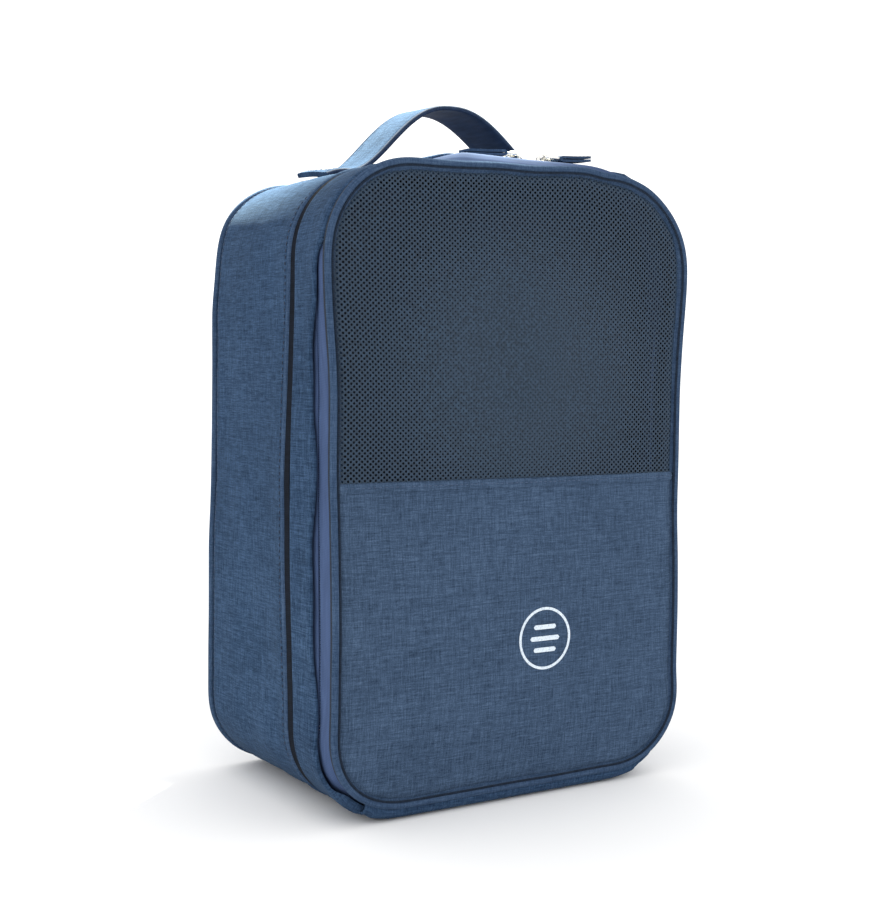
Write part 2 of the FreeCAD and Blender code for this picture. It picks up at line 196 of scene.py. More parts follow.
def stuffed(points):
    """Moves points of the limp bag to where they stand once it is packed and zipped: the lid leans forward
    low down, spreads at its top corners, draws in at its waist and swells along its top edge, and the sides
    swell at the middle seam. Each move is worked out in millimetres, from places in metres."""
    x, y, z = points[..., 0], points[..., 1], points[..., 2]
    lid = ease(-y, -MID_Y, -TAPE_FRONT_Y)
    rear = ease(y, 0, REAR_Y)
    belt = np.exp(-((y - MID_Y) / (16 * MM)) ** 2)
    hump = curve(z, (0.03, 0), (0.13, 1), (0.15, 1), (0.25, 0))
    spread = lid * curve(z, (0.0, 0.0), (0.02, 0.4), (0.055, -1.1), (0.19, -1.1), (0.255, 2.4))
    spread = spread + rear * curve(z, (0, 1.0), (0.03, 1.9), (0.11, 1.9), (0.16, 0.2), (0.23, 0),
                                   (0.26, -1.8), (0.285, 0))
    spread = spread + belt * (0.6 + 1.9 * hump)
    right = curve(z, (0, 0), (0.012, 3.0), (0.03, 2.6), (0.06, 1.3), (0.12, 1.3), (0.18, 2.6), (0.26, 2.4))
    spread = spread + lid * np.clip(x / HALF * 2, 0, 1) * right
    lean = 3.2 * lid * curve(z, (0, 0), (0.05, 1), (0.08, 1), (0.18, 0))
    shift = belt * (2.5 + 1.5 * hump) - lean
    sag = 1.6 * lid * (1 - ease(z, 0.012, 0.05)) * ease(z, 0.0, LID_LOW)
    bulge = curve(x, (-0.055, 0), (0.0, 1.6), (0.035, 3.2), (0.052, 1.6), (0.07, 0.6), (0.09, 0.0))
    bulge = bulge * ease(z, 0.265, 0.294) * lid * (1 - ease(y, LID_Y + 1 * MM, LID_Y + 6 * MM))
    placed = [x + spread * MM * np.clip(x / HALF, -1, 1), y + shift * MM, z + (bulge - sag) * MM]
    return np.stack(placed, -1)


def ring(station, inset, y, lid=0.0, raised=0.0):
    """Points on a wall of the bag. lid goes from 0 on the bag's outline to 1 on the lid's, and raised to 1
    on the outline that the stuffing pushes up along the zip."""
    bag, front, top = [outline.at(station, inset)[0] for outline in (BAG, LID, RAISED)]
    flat = bag + (front - bag) * np.asarray(lid)[..., None] + (top - bag) * np.asarray(raised)[..., None]
    return stuffed(upright(flat, y))


# ---- meshes
def mesh_object(name, points, faces, flat=None, sharp=50):
    """A smooth-shaded mesh. flat holds each face corner's place on the flat cloth, in metres."""
    mesh = bpy.data.meshes.new(name)
    mesh.from_pydata(np.asarray(points, float).tolist(), [], [list(map(int, f)) for f in faces])
    if flat is not None:
        mesh.uv_layers.new(name="Cloth").data.foreach_set("uv", np.asarray(flat, np.float32).ravel())
    edit = bmesh.new()
    edit.from_mesh(mesh)
    bmesh.ops.recalc_face_normals(edit, faces=edit.faces)
    edit.to_mesh(mesh)
    edit.free()
    mesh.shade_smooth()
    mesh.set_sharp_from_angle(angle=math.radians(sharp))
    obj = bpy.data.objects.new(name, mesh)
    bpy.context.scene.collection.objects.link(obj)
    return obj


def shell(name, outer, inner, flat, wrap=False, sharp=50):
    """A closed sheet between two grids of points. flat gives each grid point's place on the flat cloth."""
    rows, cols = outer.shape[:2]
    points = np.concatenate([outer.reshape(-1, 3), inner.reshape(-1, 3)])
    faces, corners = [], []

    def quads(*places):
        places = [[a.ravel() for a in np.broadcast_arrays(*p)] for p in places]
        faces.append(np.stack([(layer * rows + r) * cols + c % cols for layer, r, c in places], 1))
        corners.append(np.stack([flat[r, c] for _, r, c in places], 1))

    last = cols if wrap else cols - 1
    r, c = np.mgrid[0:rows - 1, 0:last]
    quads((0, r, c), (0, r, c + 1), (0, r + 1, c + 1), (0, r + 1, c))
    quads((1, r, c), (1, r + 1, c), (1, r + 1, c + 1), (1, r, c + 1))
    c = np.arange(last)
    for r in (0, rows - 1):
        quads((0, r, c), (1, r, c), (1, r, c + 1), (0, r, c + 1))
    if not wrap:
        r = np.arange(rows - 1)
        for c in (0, cols - 1):
            quads((0, r, c), (0, r + 1, c), (1, r + 1, c), (1, r, c))
    return mesh_object(name, points, np.concatenate(faces), np.concatenate(corners), sharp)


def skin(name, grid, flat, closed=False, sharp=60):
    """A tube's surface from a grid of points: one row for each section. closed joins its two ends."""
    rows, cols = grid.shape[:2]
    last = rows if closed else rows - 1
    r, c = [a.ravel() for a in np.mgrid[0:last, 0:cols]]
    order = [(r, c), (r, c + 1), (r + 1, c + 1), (r + 1, c)]
    faces = np.stack([(a % rows) * cols + b % cols for a, b in order], 1).tolist()
    corners = np.stack([flat[a, b] for a, b in order], 1).reshape(-1, 2).tolist()
    if not closed:
        for row in (0, rows - 1):
            faces.append([row * cols + k for k in range(cols)])
            corners += [flat[row, k].tolist() for k in range(cols)]
    return mesh_object(name, grid.reshape(-1, 3), faces, corners, sharp)


def sweep(name, path, out, side, profile, closed=False, sharp=60):
    """Carries profile, rows of (along out, along side), along path."""
    profile = np.asarray(profile, float)
    grid = path[:, None] + out[:, None] * profile[None, :, :1] + side[:, None] * profile[None, :, 1:]
    around = lengths_along(np.concatenate([profile, profile[:1]]))
    along = lengths_along(np.concatenate([path, path[:1]]) if closed else path)
    flat = np.stack(np.meshgrid(along, around, indexing="ij"), -1)
    return skin(name, grid, flat, closed, sharp)


def circle(radius, sides):
    """A round profile."""
    a = np.arange(sides) * 2 * PI / sides
    return np.stack([np.cos(a), np.sin(a)], -1) * radius


def frames(path, out):
    """Unit out and side directions along path, with out kept square to it."""
    along = unit(np.gradient(path, axis=0))
    out = unit(out - along * (out * along).sum(1)[:, None])
    return out, np.cross(along, out)


def wire(name, path, radius, out, sides=10, closed=False):
    """A round bar along path."""
    if closed:
        along = unit(np.roll(path, -1, 0) - np.roll(path, 1, 0))
        out = np.broadcast_to(np.asarray(out, float), path.shape)
        side = np.cross(along, out)
    else:
        out, side = frames(path, out)
    return sweep(name, path, out, side, circle(radius, sides), closed)


def bend_points(points, radius, steps=6):
    """A closed loop through the corners given, with each corner rounded off."""
    points = [np.asarray(p, float) for p in points]
    loop = []
    for i, corner in enumerate(points):
        start = corner + unit(points[i - 1] - corner) * radius
        end = corner + unit(points[(i + 1) % len(points)] - corner) * radius
        for t in np.linspace(0, 1, steps):
            loop.append((1 - t) ** 2 * start + 2 * t * (1 - t) * corner + t * t * end)
    return np.array(loop)


def stitches(name, path, out, body, material, pitch=3.0 * MM, length=2.3 * MM, thick=0.38 * MM):
    """A row of sewn stitches lying along path: each one is a small spindle whose ends sink into the cloth."""
    along = lengths_along(path)
    count = max(1, int(along[-1] / pitch))
    at = (np.arange(count) + 0.5) * along[-1] / count
    reach, sides, rings = 0.3 * MM, 6, 5

    def read(values, where):
        return np.stack([np.interp(where, along, values[:, k]) for k in range(3)], -1)

    place = read(path, at)
    way = unit(read(path, at + reach) - read(path, at - reach))
    out = read(np.broadcast_to(np.asarray(out, float), path.shape), at)
    side = np.cross(way, out)
    points = []
    for share in np.linspace(-1, 1, rings):
        fat = thick / 2 * math.sqrt(max(0.06, 1 - share ** 2))
        sink = -thick * 0.9 * share ** 2
        for angle in np.arange(sides) * 2 * PI / sides:
            points.append(place + way * share * length / 2 + side * math.cos(angle) * fat
                          + out * (math.sin(angle) * fat + sink))
    points = np.stack(points, 1).reshape(-1, 3)
    faces = []
    for k in range(rings - 1):
        for j in range(sides):
            a, b = k * sides + j, k * sides + (j + 1) % sides
            faces.append([a, b, b + sides, a + sides])
    faces += [list(range(sides)), list(range((rings - 1) * sides, rings * sides))]
    many = [[i + n * sides * rings for i in face] for n in range(count) for face in faces]
    return settle(mesh_object(name, points, many), body, material)


def settle(obj, body, material, replaces=()):
    """Gives a finished piece its material, its body and the CAD nodes it stands for."""
    obj.data.materials.append(material)
    if body:
        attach(obj, body)
    if replaces:
        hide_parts(*replaces)
    return obj


def join(parts):
    """Joins mesh objects into the first one."""
    bpy.ops.object.select_all(action="DESELECT")
    for part in parts:
        part.select_set(True)
    bpy.context.view_layer.objects.active = parts[0]
    bpy.ops.object.join()
    bpy.ops.object.select_all(action="DESELECT")
    return parts[0]


# ---- materials
class Recipe:
    """A material made of nodes around one Principled shader."""

    def __init__(self, name, color, roughness, metallic=0.0, sheen=0.0, specular=0.5):
        self.material = bpy.data.materials.new(name)
        self.material.use_nodes = True
        self.tree = self.material.node_tree
        self.shader = self.tree.nodes["Principled BSDF"]
        self.shader.inputs["Base Color"].default_value = (*color, 1)
        self.shader.inputs["Roughness"].default_value = roughness
        self.shader.inputs["Metallic"].default_value = metallic
        self.shader.inputs["Sheen Weight"].default_value = sheen
        self.shader.inputs["Specular IOR Level"].default_value = specular

    def node(self, kind, inputs=(), **settings):
        """Adds a node. inputs maps an input's name or number to a value or to another node's output."""
        made = self.tree.nodes.new(kind)
        for key, value in settings.items():
            setattr(made, key, value)
        for key, value in dict(inputs).items():
            if isinstance(value, bpy.types.NodeSocket):
                self.tree.links.new(value, made.inputs[key])
            else:
                made.inputs[key].default_value = value
        return made

    def math(self, operation, a, b=0.0, c=0.0, clamp=False):
        values = {0: a, 1: b, 2: c}
        return self.node("ShaderNodeMath", values, operation=operation, use_clamp=clamp).outputs[0]

    def mix(self, parts, base=0.0):
        """base plus each (value, share), limited to 0 to 1. A value of 0.5 adds nothing."""
        total = base
        for value, share in parts:
            total = self.math("MULTIPLY_ADD", self.math("SUBTRACT", value, 0.5), share, total)
        return self.math("ADD", total, 0.0, clamp=True)

    def cloth(self):
        """Across and along the flat cloth, in millimetres."""
        place = self.node("ShaderNodeUVMap", uv_map="Cloth").outputs[0]
        parts = self.node("ShaderNodeSeparateXYZ", {0: place})
        return self.math("MULTIPLY", parts.outputs[0], 1000), self.math("MULTIPLY", parts.outputs[1], 1000)

    def noise(self, scale, detail):
        """Even noise through the object, from 0 to 1."""
        place = self.node("ShaderNodeTexCoord").outputs["Object"]
        settings = {"Vector": place, "Scale": scale, "Detail": detail}
        return self.node("ShaderNodeTexNoise", settings).outputs[0]

    def streaks(self, u, v, fine, long, seed, detail=2.0):
        """Noise drawn out along v: fine and long are its sizes across and along, in millimetres."""
        place = self.node("ShaderNodeCombineXYZ",
                          {0: self.math("DIVIDE", u, fine), 1: self.math("DIVIDE", v, long), 2: seed})
        return self.node("ShaderNodeTexNoise", {"Vector": place.outputs[0], "Scale": 1.0, "Detail": detail,
                                                "Roughness": 0.6}).outputs[0]

    def ramp(self, value, stops):
        """A colour ramp: stops are (position, colour)."""
        made = self.node("ShaderNodeValToRGB", {0: value})
        ramp = made.color_ramp
        while len(ramp.elements) < len(stops):
            ramp.elements.new(1.0)
        for element, (position, color) in zip(ramp.elements, stops):
            element.position = position
            element.color = (*color, 1)
        return made.outputs[0]

    def paint(self, color):
        self.tree.links.new(color, self.shader.inputs["Base Color"])

    def bump(self, height, strength, depth):
        """Raises the surface by height, over a depth in metres."""
        made = self.node("ShaderNodeBump", {"Height": height, "Strength": strength, "Distance": depth})
        self.tree.links.new(made.outputs[0], self.shader.inputs["Normal"])


def melange(name, dark, mid, light, contrast=1.0):
    """Two-tone plain weave: single yarns run darker or lighter for a few millimetres, both ways."""
    recipe = Recipe(name, mid, 0.9, sheen=0.03, specular=0.03)
    recipe.shader.inputs["Sheen Roughness"].default_value = 0.4
    recipe.shader.inputs["Sheen Tint"].default_value = (0.7, 0.9, 1.0, 1.0)
    u, v = recipe.cloth()
    weft = recipe.streaks(v, u, 0.45, 7.0, 3.1, 1.0)
    warp = recipe.streaks(u, v, 0.45, 8.0, 7.7, 1.0)
    slubs = recipe.streaks(v, u, 0.8, 22.0, 12.4, 0.0)
    grain = recipe.streaks(u, v, 0.6, 0.6, 1.3, 0.0)
    clouds = recipe.streaks(u, v, 30.0, 38.0, 5.5, 1.0)
    yarns = [(weft, 0.75 * contrast), (warp, 0.75 * contrast), (slubs, 0.28 * contrast)]
    tone = recipe.mix(yarns + [(grain, 0.4 * contrast), (clouds, 0.2)], 0.5)
    recipe.paint(recipe.ramp(tone, [(0.1, dark), (0.5, mid), (0.9, light)]))
    over = recipe.math("SINE", recipe.math("MULTIPLY", u, 2 * PI / 0.8))
    under = recipe.math("SINE", recipe.math("MULTIPLY", v, 2 * PI / 0.8))
    height = recipe.math("MULTIPLY_ADD", recipe.math("MULTIPLY", over, under), 0.3, tone)
    recipe.bump(height, 0.5, 0.15 * MM)
    return recipe.material


def plain(name, color, rib, slant=0.0, contrast=0.18, roughness=0.8, sheen=0.05):
    """Smooth woven tape or cloth with a fine rib, rib millimetres from crest to crest."""
    recipe = Recipe(name, color, roughness, sheen=sheen, specular=0.08)
    recipe.shader.inputs["Sheen Roughness"].default_value = 0.4
    u, v = recipe.cloth()
    slanted = recipe.math("MULTIPLY_ADD", v, slant, u)
    crest = recipe.math("SINE", recipe.math("MULTIPLY", slanted, 2 * PI / rib))
    cross = recipe.math("SINE", recipe.math("MULTIPLY", v, 2 * PI / (1.4 * rib)))
    fuzz = recipe.streaks(u, v, 2.5, 14.0, 2.2)
    woven = recipe.math("MULTIPLY_ADD", cross, 0.08, recipe.math("MULTIPLY", crest, 0.14))
    tone = recipe.math("ADD", woven, fuzz, clamp=True)
    dark = tuple(c * (1 - 2 * contrast) for c in color)
    light = tuple(min(1, c * (1 + 2 * contrast)) for c in color)
    recipe.paint(recipe.ramp(tone, [(0.15, dark), (0.5, color), (0.85, light)]))
    recipe.bump(tone, 0.35, 0.12 * MM)
    return recipe.material


def yarn(name, color, roughness=0.5):
    """Smooth plastic yarn or thread, with a little unevenness along it."""
    recipe = Recipe(name, color, roughness, sheen=0.05, specular=0.25)
    noise = recipe.noise(900.0, 2.0)
    dark, light = tuple(c * 0.65 for c in color), tuple(c * 1.4 for c in color)
    recipe.paint(recipe.ramp(noise, [(0.3, dark), (0.7, light)]))
    recipe.bump(noise, 0.3, 0.05 * MM)
    return recipe.material


def metal(name):
    """Nickel plate, with faint casting marks and a duller bloom."""
    recipe = Recipe(name, (0.72, 0.71, 0.68), 0.24, metallic=1.0)
    fine, broad = recipe.noise(1400.0, 3.0), recipe.noise(260.0, 2.0)
    rough = recipe.math("ADD", recipe.math("MULTIPLY", broad, 0.3), 0.1)
    recipe.tree.links.new(rough, recipe.shader.inputs["Roughness"])
    recipe.paint(recipe.ramp(broad, [(0.3, (0.6, 0.59, 0.57)), (0.7, (0.8, 0.79, 0.76))]))
    recipe.bump(fine, 0.15, 0.03 * MM)
    return recipe.material


def printed(name):
    """Pale transfer print that has settled into the weave, with pinholes where the yarns cross."""
    recipe = Recipe(name, (0.6, 0.68, 0.76), 0.55, specular=0.4)
    u, v = recipe.cloth()
    grain = recipe.streaks(u, v, 0.7, 0.9, 4.4)
    recipe.paint(recipe.ramp(grain, [(0.3, (0.42, 0.5, 0.6)), (0.5, (0.66, 0.74, 0.82))]))
    recipe.bump(grain, 0.3, 0.06 * MM)
    return recipe.material


def foam(name):
    """Closed-cell foam with fine pores."""
    recipe = Recipe(name, (0.7, 0.7, 0.67), 0.9)
    place = recipe.node("ShaderNodeTexCoord").outputs["Object"]
    cells = recipe.node("ShaderNodeTexVoronoi", {"Vector": place, "Scale": 1100.0}).outputs[0]
    recipe.paint(recipe.ramp(cells, [(0.1, (0.5, 0.5, 0.48)), (0.6, (0.74, 0.74, 0.71))]))
    recipe.bump(cells, 0.5, 0.1 * MM)
    return recipe.material


MELANGE = melange("melange_cloth", NAVY_DARK, NAVY, NAVY_LIGHT)
# The panels' melange cloth in darker colours: painted shade
SHADED_MELANGE = melange("shaded_melange_cloth", SHADED_NAVY_DARK, SHADED_NAVY, SHADED_NAVY_LIGHT, 1.25)
PIPING = melange("piping_cloth", SHADED_NAVY_DARK, (0.036, 0.064, 0.12), NAVY_LIGHT, 0.7)
TAPE = plain("zip_tape_cloth", TAPE_BLUE, 0.8, 0.0, 0.1, sheen=0.0)
# Painted shade: the strap's underside and edges are the sleeve's own cloth, darkened where shade falls
STRAP_SHADE = plain("strap_underside_painted_shade", (0.02, 0.033, 0.065), 0.9, 0.5)
LINING = plain("lining_cloth", LINING_DARK, 0.6, 0.0, 0.2, 0.55, 0.1)
BINDING = plain("binding_tape", (0.014, 0.02, 0.036), 1.1, 0.0, 0.25)
THREAD = yarn("sewing_thread", (0.045, 0.075, 0.14))
DARK_THREAD = yarn("dark_thread", (0.012, 0.02, 0.045))
NET = yarn("net_yarn", (0.017, 0.036, 0.064), 0.5)
COIL = yarn("coil_nylon", (0.05, 0.075, 0.16), 0.35)
METAL = metal("nickel_plate")
PRINT = printed("transfer_print")
FOAM = foam("foam_sheet")
# Painted shadow: a near-black sheet down in the middle seam's groove, and the band in front of the middle
# cord
SEAM_SHADOW = plain("seam_painted_shadow", (0.0045, 0.007, 0.013), 0.9, 0.0, 0.25)
# Painted shade: thin dark sheets beside the lid's cord
SHADE = plain("cord_painted_shade", (0.010, 0.017, 0.031), 0.9, 0.0, 0.25)

# Painted shade beside the lid's cord, as piping() takes its bands: thin dark sheets, one behind it and one
# inside it, at the front
LID_SHADE_BANDS = [((0.75, 0.5), (0.62, 1.3)), ((-0.28, -0.42), (-0.68, -0.35))]


# ---- gusset, strip and piping
def gusset_inset(station, y):
    """How far the rear gusset's face lies inside the outline: tucked in at both seams, crowned between."""
    s = BAG.length_at(station)
    seam = np.minimum(y - MID_Y, REAR_Y - y)
    tuck = 2.2 * MM * np.exp(-(seam / (2.4 * MM)) ** 2)
    crown = 0.5 * MM * ease(seam, 4 * MM, 34 * MM)
    pucker = 0.28 * MM * drift(s, y * 0.3, 7 * MM, 11, BAG.length) * np.exp(-seam / (7 * MM))
    fold = drift(s + 0.9 * y, y * 0.6, 38 * MM, 12, BAG.length)
    fold = fold + 0.5 * drift(s - y, y, 19 * MM, 13, BAG.length)
    low_corner = 1 + 1.4 * (1 - ease(np.abs(station - 7.6), 0.2, 1.6))
    dents = 0.42 * MM * fold * ease(seam, 2 * MM, 16 * MM) * low_corner
    return 1.3 * MM + tuck - crown + pucker + dents


def layer(name, first, last, step, depths, inset, thick, material, body, slot, replaces,
          lid=None, raised=None):
    """A wall that follows the outline from station first to last. depths are its rows' Y, front to rear, and
    inset(station, y) its outer face. lid(y) and raised(station, y) say how far it follows those outlines."""
    wrap = first == 0 and last == 9
    at = stations(first, last, step)
    grid_t, grid_y = np.meshgrid(at[:-1] if wrap else at, depths, indexing="xy")
    follow = (lid(grid_y) if lid else 0.0, raised(grid_t, grid_y) if raised else 0.0)
    face = inset(grid_t, grid_y)
    outer = ring(grid_t, face, grid_y, *follow)
    inner = ring(grid_t, face + thick, grid_y, *follow)
    flat_t, flat_y = np.meshgrid(BAG.length_at(at), depths, indexing="xy")
    flat = np.stack([flat_y, flat_t], -1)
    return settle(shell(name, outer, inner, flat, wrap), body, material, replaces)


def seam_rows(start, end, step, edge=1.0 * MM):
    """Depths from start to end that are closer together near both ends."""
    rows = np.linspace(start, end, max(4, round((end - start) / step)) + 1)
    near = edge * np.array([0.4, 1, 2, 3])
    return np.sort(np.concatenate([rows, start + near, end - near]))


def even(depth):
    """An inset that is the same all over."""
    return lambda station, y: depth + 0 * y


def piping(name, outline, y, body, node, shade_bands, tape=SHADE):
    """A cloth-covered cord sewn into the seam at depth y. Each band beside the cord is a thin dark sheet,
    painted shade where the seam's groove lies, from one (out, along Y) place to the next, in shares of the
    cord's radius."""
    at = stations(0, 9, 2.2 * MM)[:-1]
    s = BAG.length_at(at)
    wander = 0.18 * MM * drift(s, 0 * s, 24 * MM, 21, BAG.length)
    place, out = outline.at(at, CORD + wander)
    depth = y + 0.15 * MM * drift(s, 0 * s + 1, 31 * MM, 22, BAG.length)
    path, out = stuffed(upright(place, depth)), upright(out, 0)
    side = np.broadcast_to(REARWARD, path.shape)
    turn = np.radians(np.linspace(-142, 142, 15))
    cover = np.stack([np.cos(turn) + 0.42, np.sin(turn)], -1) * CORD * 0.64
    flange = np.array([[-1.0, 0.55], [-2.2, 1.0], [-2.2, 0.72], [-1.0, 0.2]]) * CORD
    cord = sweep(name, path, out, side, np.concatenate([cover, flange]), True, 70)
    settle(cord, body, PIPING, [node])
    parts = [cord]
    for band in shade_bands:
        ends = np.array(band) * CORD
        across = ends[1] - ends[0]
        behind = np.array([across[1], -across[0]]) / np.linalg.norm(across) * 0.3 * MM
        behind = behind * np.sign(-behind[0])
        # Each band is a thin dark sheet of painted shade
        strip = sweep("seam", path, out, side, np.concatenate([ends, ends[::-1] + behind]), True, 70)
        strip.data.materials.append(tape)
        parts.append(strip)
    join(parts)


def rear_section():
    """The gusset with its foam and lining, and the cords, bindings and stitches at its two seams."""
    depths = seam_rows(MID_Y + 0.6 * MM, REAR_Y - 0.6 * MM, 2.6 * MM)
    # The gusset is the panels' cloth with painted shade
    gusset = layer("rear_gusset_cloth", 0, 9, 2.6 * MM, depths, gusset_inset, 1.2 * MM, SHADED_MELANGE, "bag",
                   "melange_cloth", ["rear_gusset"])
    low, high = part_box("gusset_foam")
    layer("gusset_foam_sheet", 0, 9, 6 * MM, np.linspace(low.y, high.y, 12), even(3.4 * MM), 1.9 * MM, FOAM,
          "bag", "foam", ["gusset_foam"])
    layer("gusset_lining_cloth", 0, 9, 4 * MM, np.linspace(low.y, high.y, 24),
          lambda t, y: 5.4 * MM + 0.3 * MM * drift(BAG.length_at(t), y, 22 * MM, 31, BAG.length),
          0.4 * MM, LINING, "bag", "lining", ["gusset_lining"])
    for node, thick in (("rear_binding", 6.5 * MM), ("mid_binding", 1.0 * MM)):
        low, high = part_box(node)

        def round_over(station, y, low=low.y, high=high.y):
            return 6.2 * MM + 0.25 * MM * (1 - ease(np.minimum(y - low, high - y), 0, 0.5 * MM))

        layer(node + "_tape", 0, 9, 4 * MM, seam_rows(low.y, high.y, 1.5 * MM, 0.2 * MM), round_over, thick,
              BINDING, "bag", "binding", [node])
    piping("rear_piping_cord", BAG, REAR_Y, "bag", "rear_piping", [])
    # The band in front of the middle cord is painted shadow
    piping("mid_piping_cord", BAG, MID_Y, "bag", "mid_piping", [((0.55, -0.4), (0.2, -2.0))], SEAM_SHADOW)
    at = stations(0, 9, 1.5 * MM)
    out = upright(BAG.at(at)[1], 0)
    for name, y, material in (("mid_seam_stitches", MID_Y + 4.6 * MM, DARK_THREAD),
                              ("rear_seam_stitches", REAR_Y - 4.6 * MM, THREAD)):
        path = ring(at, gusset_inset(at, y + 0 * at) - 0.12 * MM, y)
        stitches(name, path, out, "bag", material)


# ---- flat panels
def rows_between(low, high, step):
    """Heights from low to high, closer together round the outline's corners."""
    corner = 1 - np.cos(np.linspace(0, PI / 2, 14))
    foot = [] if low > BOTTOM_RADIUS else low + BOTTOM_RADIUS * corner
    head = high - TOP_RADIUS * corner if high > TOP - TOP_RADIUS else []
    rows = np.concatenate([np.arange(low, high, step), foot, head, [low, high]])
    rows = np.unique(np.round(rows, 6))
    return rows[np.concatenate([[True], np.diff(rows) > 0.25 * MM])]


def half_width(outline, z, inset):
    """How far a panel inside outline, moved in by inset, reaches to each side at height z."""
    at = np.linspace(0.0, 4.5, 1400)
    place, _ = outline.at(at, inset)
    order = np.argsort(place[:, 1])
    return np.interp(z, place[order, 1], place[order, 0])


def panel_grid(outline, inset, low, high, step):
    """X and Z of the grid of a panel that reaches to inset inside outline."""
    z = rows_between(low, high, step)
    half = half_width(outline, z, inset)
    half[0] = half_width(outline, np.array([z[0] + 0.02 * MM]), inset)[0]
    columns = max(8, round(2 * HALF / step))
    edge = -np.cos(np.linspace(0, PI, columns + 1))
    share = 0.45 * edge + 0.55 * np.linspace(-1, 1, columns + 1)
    x = half[:, None] * share
    return x, np.broadcast_to(z[:, None], x.shape)


def edge_distance(outline, x, z):
    """How far inside outline each point lies, near enough for shading a seam."""
    place, _ = outline.at(stations(0, 9, 3 * MM))
    best = np.full(x.shape, 1.0)
    for px, pz in place:
        best = np.minimum(best, np.hypot(x - px, z - pz))
    return best


def front_y(x, z):
    """Depth of the lid's outer cloth: tucked in at the piping, softly crowned inside it."""
    seam = edge_distance(LID, x, z) - 2 * CORD
    tuck = 1.6 * MM * np.exp(-np.clip(seam, 0, 1) / (1.8 * MM))
    crown = 1.4 * MM * ease(seam, 0, 45 * MM)
    fold = drift(x + 0.5 * z, z, 46 * MM, 41) + 0.5 * drift(x - z, z + x, 23 * MM, 42)
    pucker = 0.22 * MM * drift(x, z, 7 * MM, 43) * np.exp(-np.clip(seam, 0, 1) / (8 * MM))
    return LID_Y - 0.9 * MM + tuck - crown + 0.35 * MM * fold + pucker


def slab(name, x, z, face, thick, material, body, replaces, sharp=50, fit=stuffed):
    """A panel whose outer cloth is at depth face, with its inner face thick behind it. fit places the limp
    panel's points."""
    outer = fit(np.stack([x, face, z], -1))
    inner = outer + thick * REARWARD
    panel = shell(name, outer, inner, np.stack([x, z], -1), False, sharp)
    return settle(panel, body, material, replaces)


def back_panels():
    """Back panel with its foam and lining."""
    inset = 1.6 * CORD
    x, z = panel_grid(BAG, inset, inset, TOP - inset, 3.2 * MM)
    seam = np.clip(edge_distance(BAG, x, z) - inset, 0, 1)
    fold = drift(x + 0.4 * z, z, 52 * MM, 51) + 0.4 * drift(x - z, z + x, 25 * MM, 52)
    face = REAR_Y + 0.2 * MM - 1.4 * MM * np.exp(-seam / (2.0 * MM)) + 1.5 * MM * ease(seam, 0, 50 * MM)
    face = face + 0.4 * MM * fold * ease(seam, 0, 12 * MM)
    back = slab("back_panel_cloth", x, z, face, -1.2 * MM, MELANGE, "bag", ["back_panel"])
    for node, name, material, slot in (("back_foam", "back_foam_sheet", FOAM, "foam"),
                                       ("back_lining", "back_lining_cloth", LINING, "lining")):
        low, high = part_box(node)
        x, z = panel_grid(BAG, low.z, low.z + 0.05 * MM, high.z - 0.05 * MM, 6 * MM)
        slab(name, x, z, high.y + 0 * x, low.y - high.y, material, "bag", [node])


def lid_panels():
    """Lower panel with its foam, which stops short of the hem, and its lining."""
    inset = 1.5 * CORD
    x, z = panel_grid(LID, inset, LID_LOW + inset, SEAM_Z, 3.0 * MM)
    panel = slab("lower_panel_cloth", x, z, front_y(x, z), 1.1 * MM, MELANGE, "lid",
                 ["lower_panel"])
    for node, name, material, slot, short in (("lower_foam", "lower_foam_sheet", FOAM, "foam", 3.0 * MM),
                                              ("lower_lining", "lower_lining_cloth", LINING, "lining", 0)):
        low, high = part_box(node)
        x, z = panel_grid(LID, low.z - LID_LOW, low.z + 0.05 * MM, high.z - short, 5 * MM)
        face = front_y(x, z) + (low.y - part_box("lower_panel")[0].y)
        slab(name, x, z, face, high.y - low.y, material, "lid", [node])


def hem():
    """The lower panel's top edge, turned over the net and sewn down."""
    z_rows = SEAM_Z + np.array([-2.2, -1.7, -1.2, -0.6, 0.2, 1.0, 1.8, 2.5, 2.95, 3.1]) * MM
    lift = np.array([-0.55, -0.25, 0.45, 0.75, 0.85, 0.85, 0.8, 0.6, 0.2, -0.3]) * MM
    x = half_width(LID, z_rows, 1.3 * CORD)[:, None] * np.linspace(-1, 1, 80)
    z = z_rows[:, None] + 0.25 * MM * drift(x, 0 * x, 34 * MM, 61)
    face = front_y(x, z) - lift[:, None]
    slab("window_hem_fold", x, z, face, 1.2 * MM, MELANGE, "lid", ["window_hem"], 80)
    row = stuffed(np.stack([x[5], face[5] - 0.1 * MM, z[5]], -1))
    stitches("hem_stitches", row, (0, -1, 0), "lid", THREAD, 2.8 * MM)


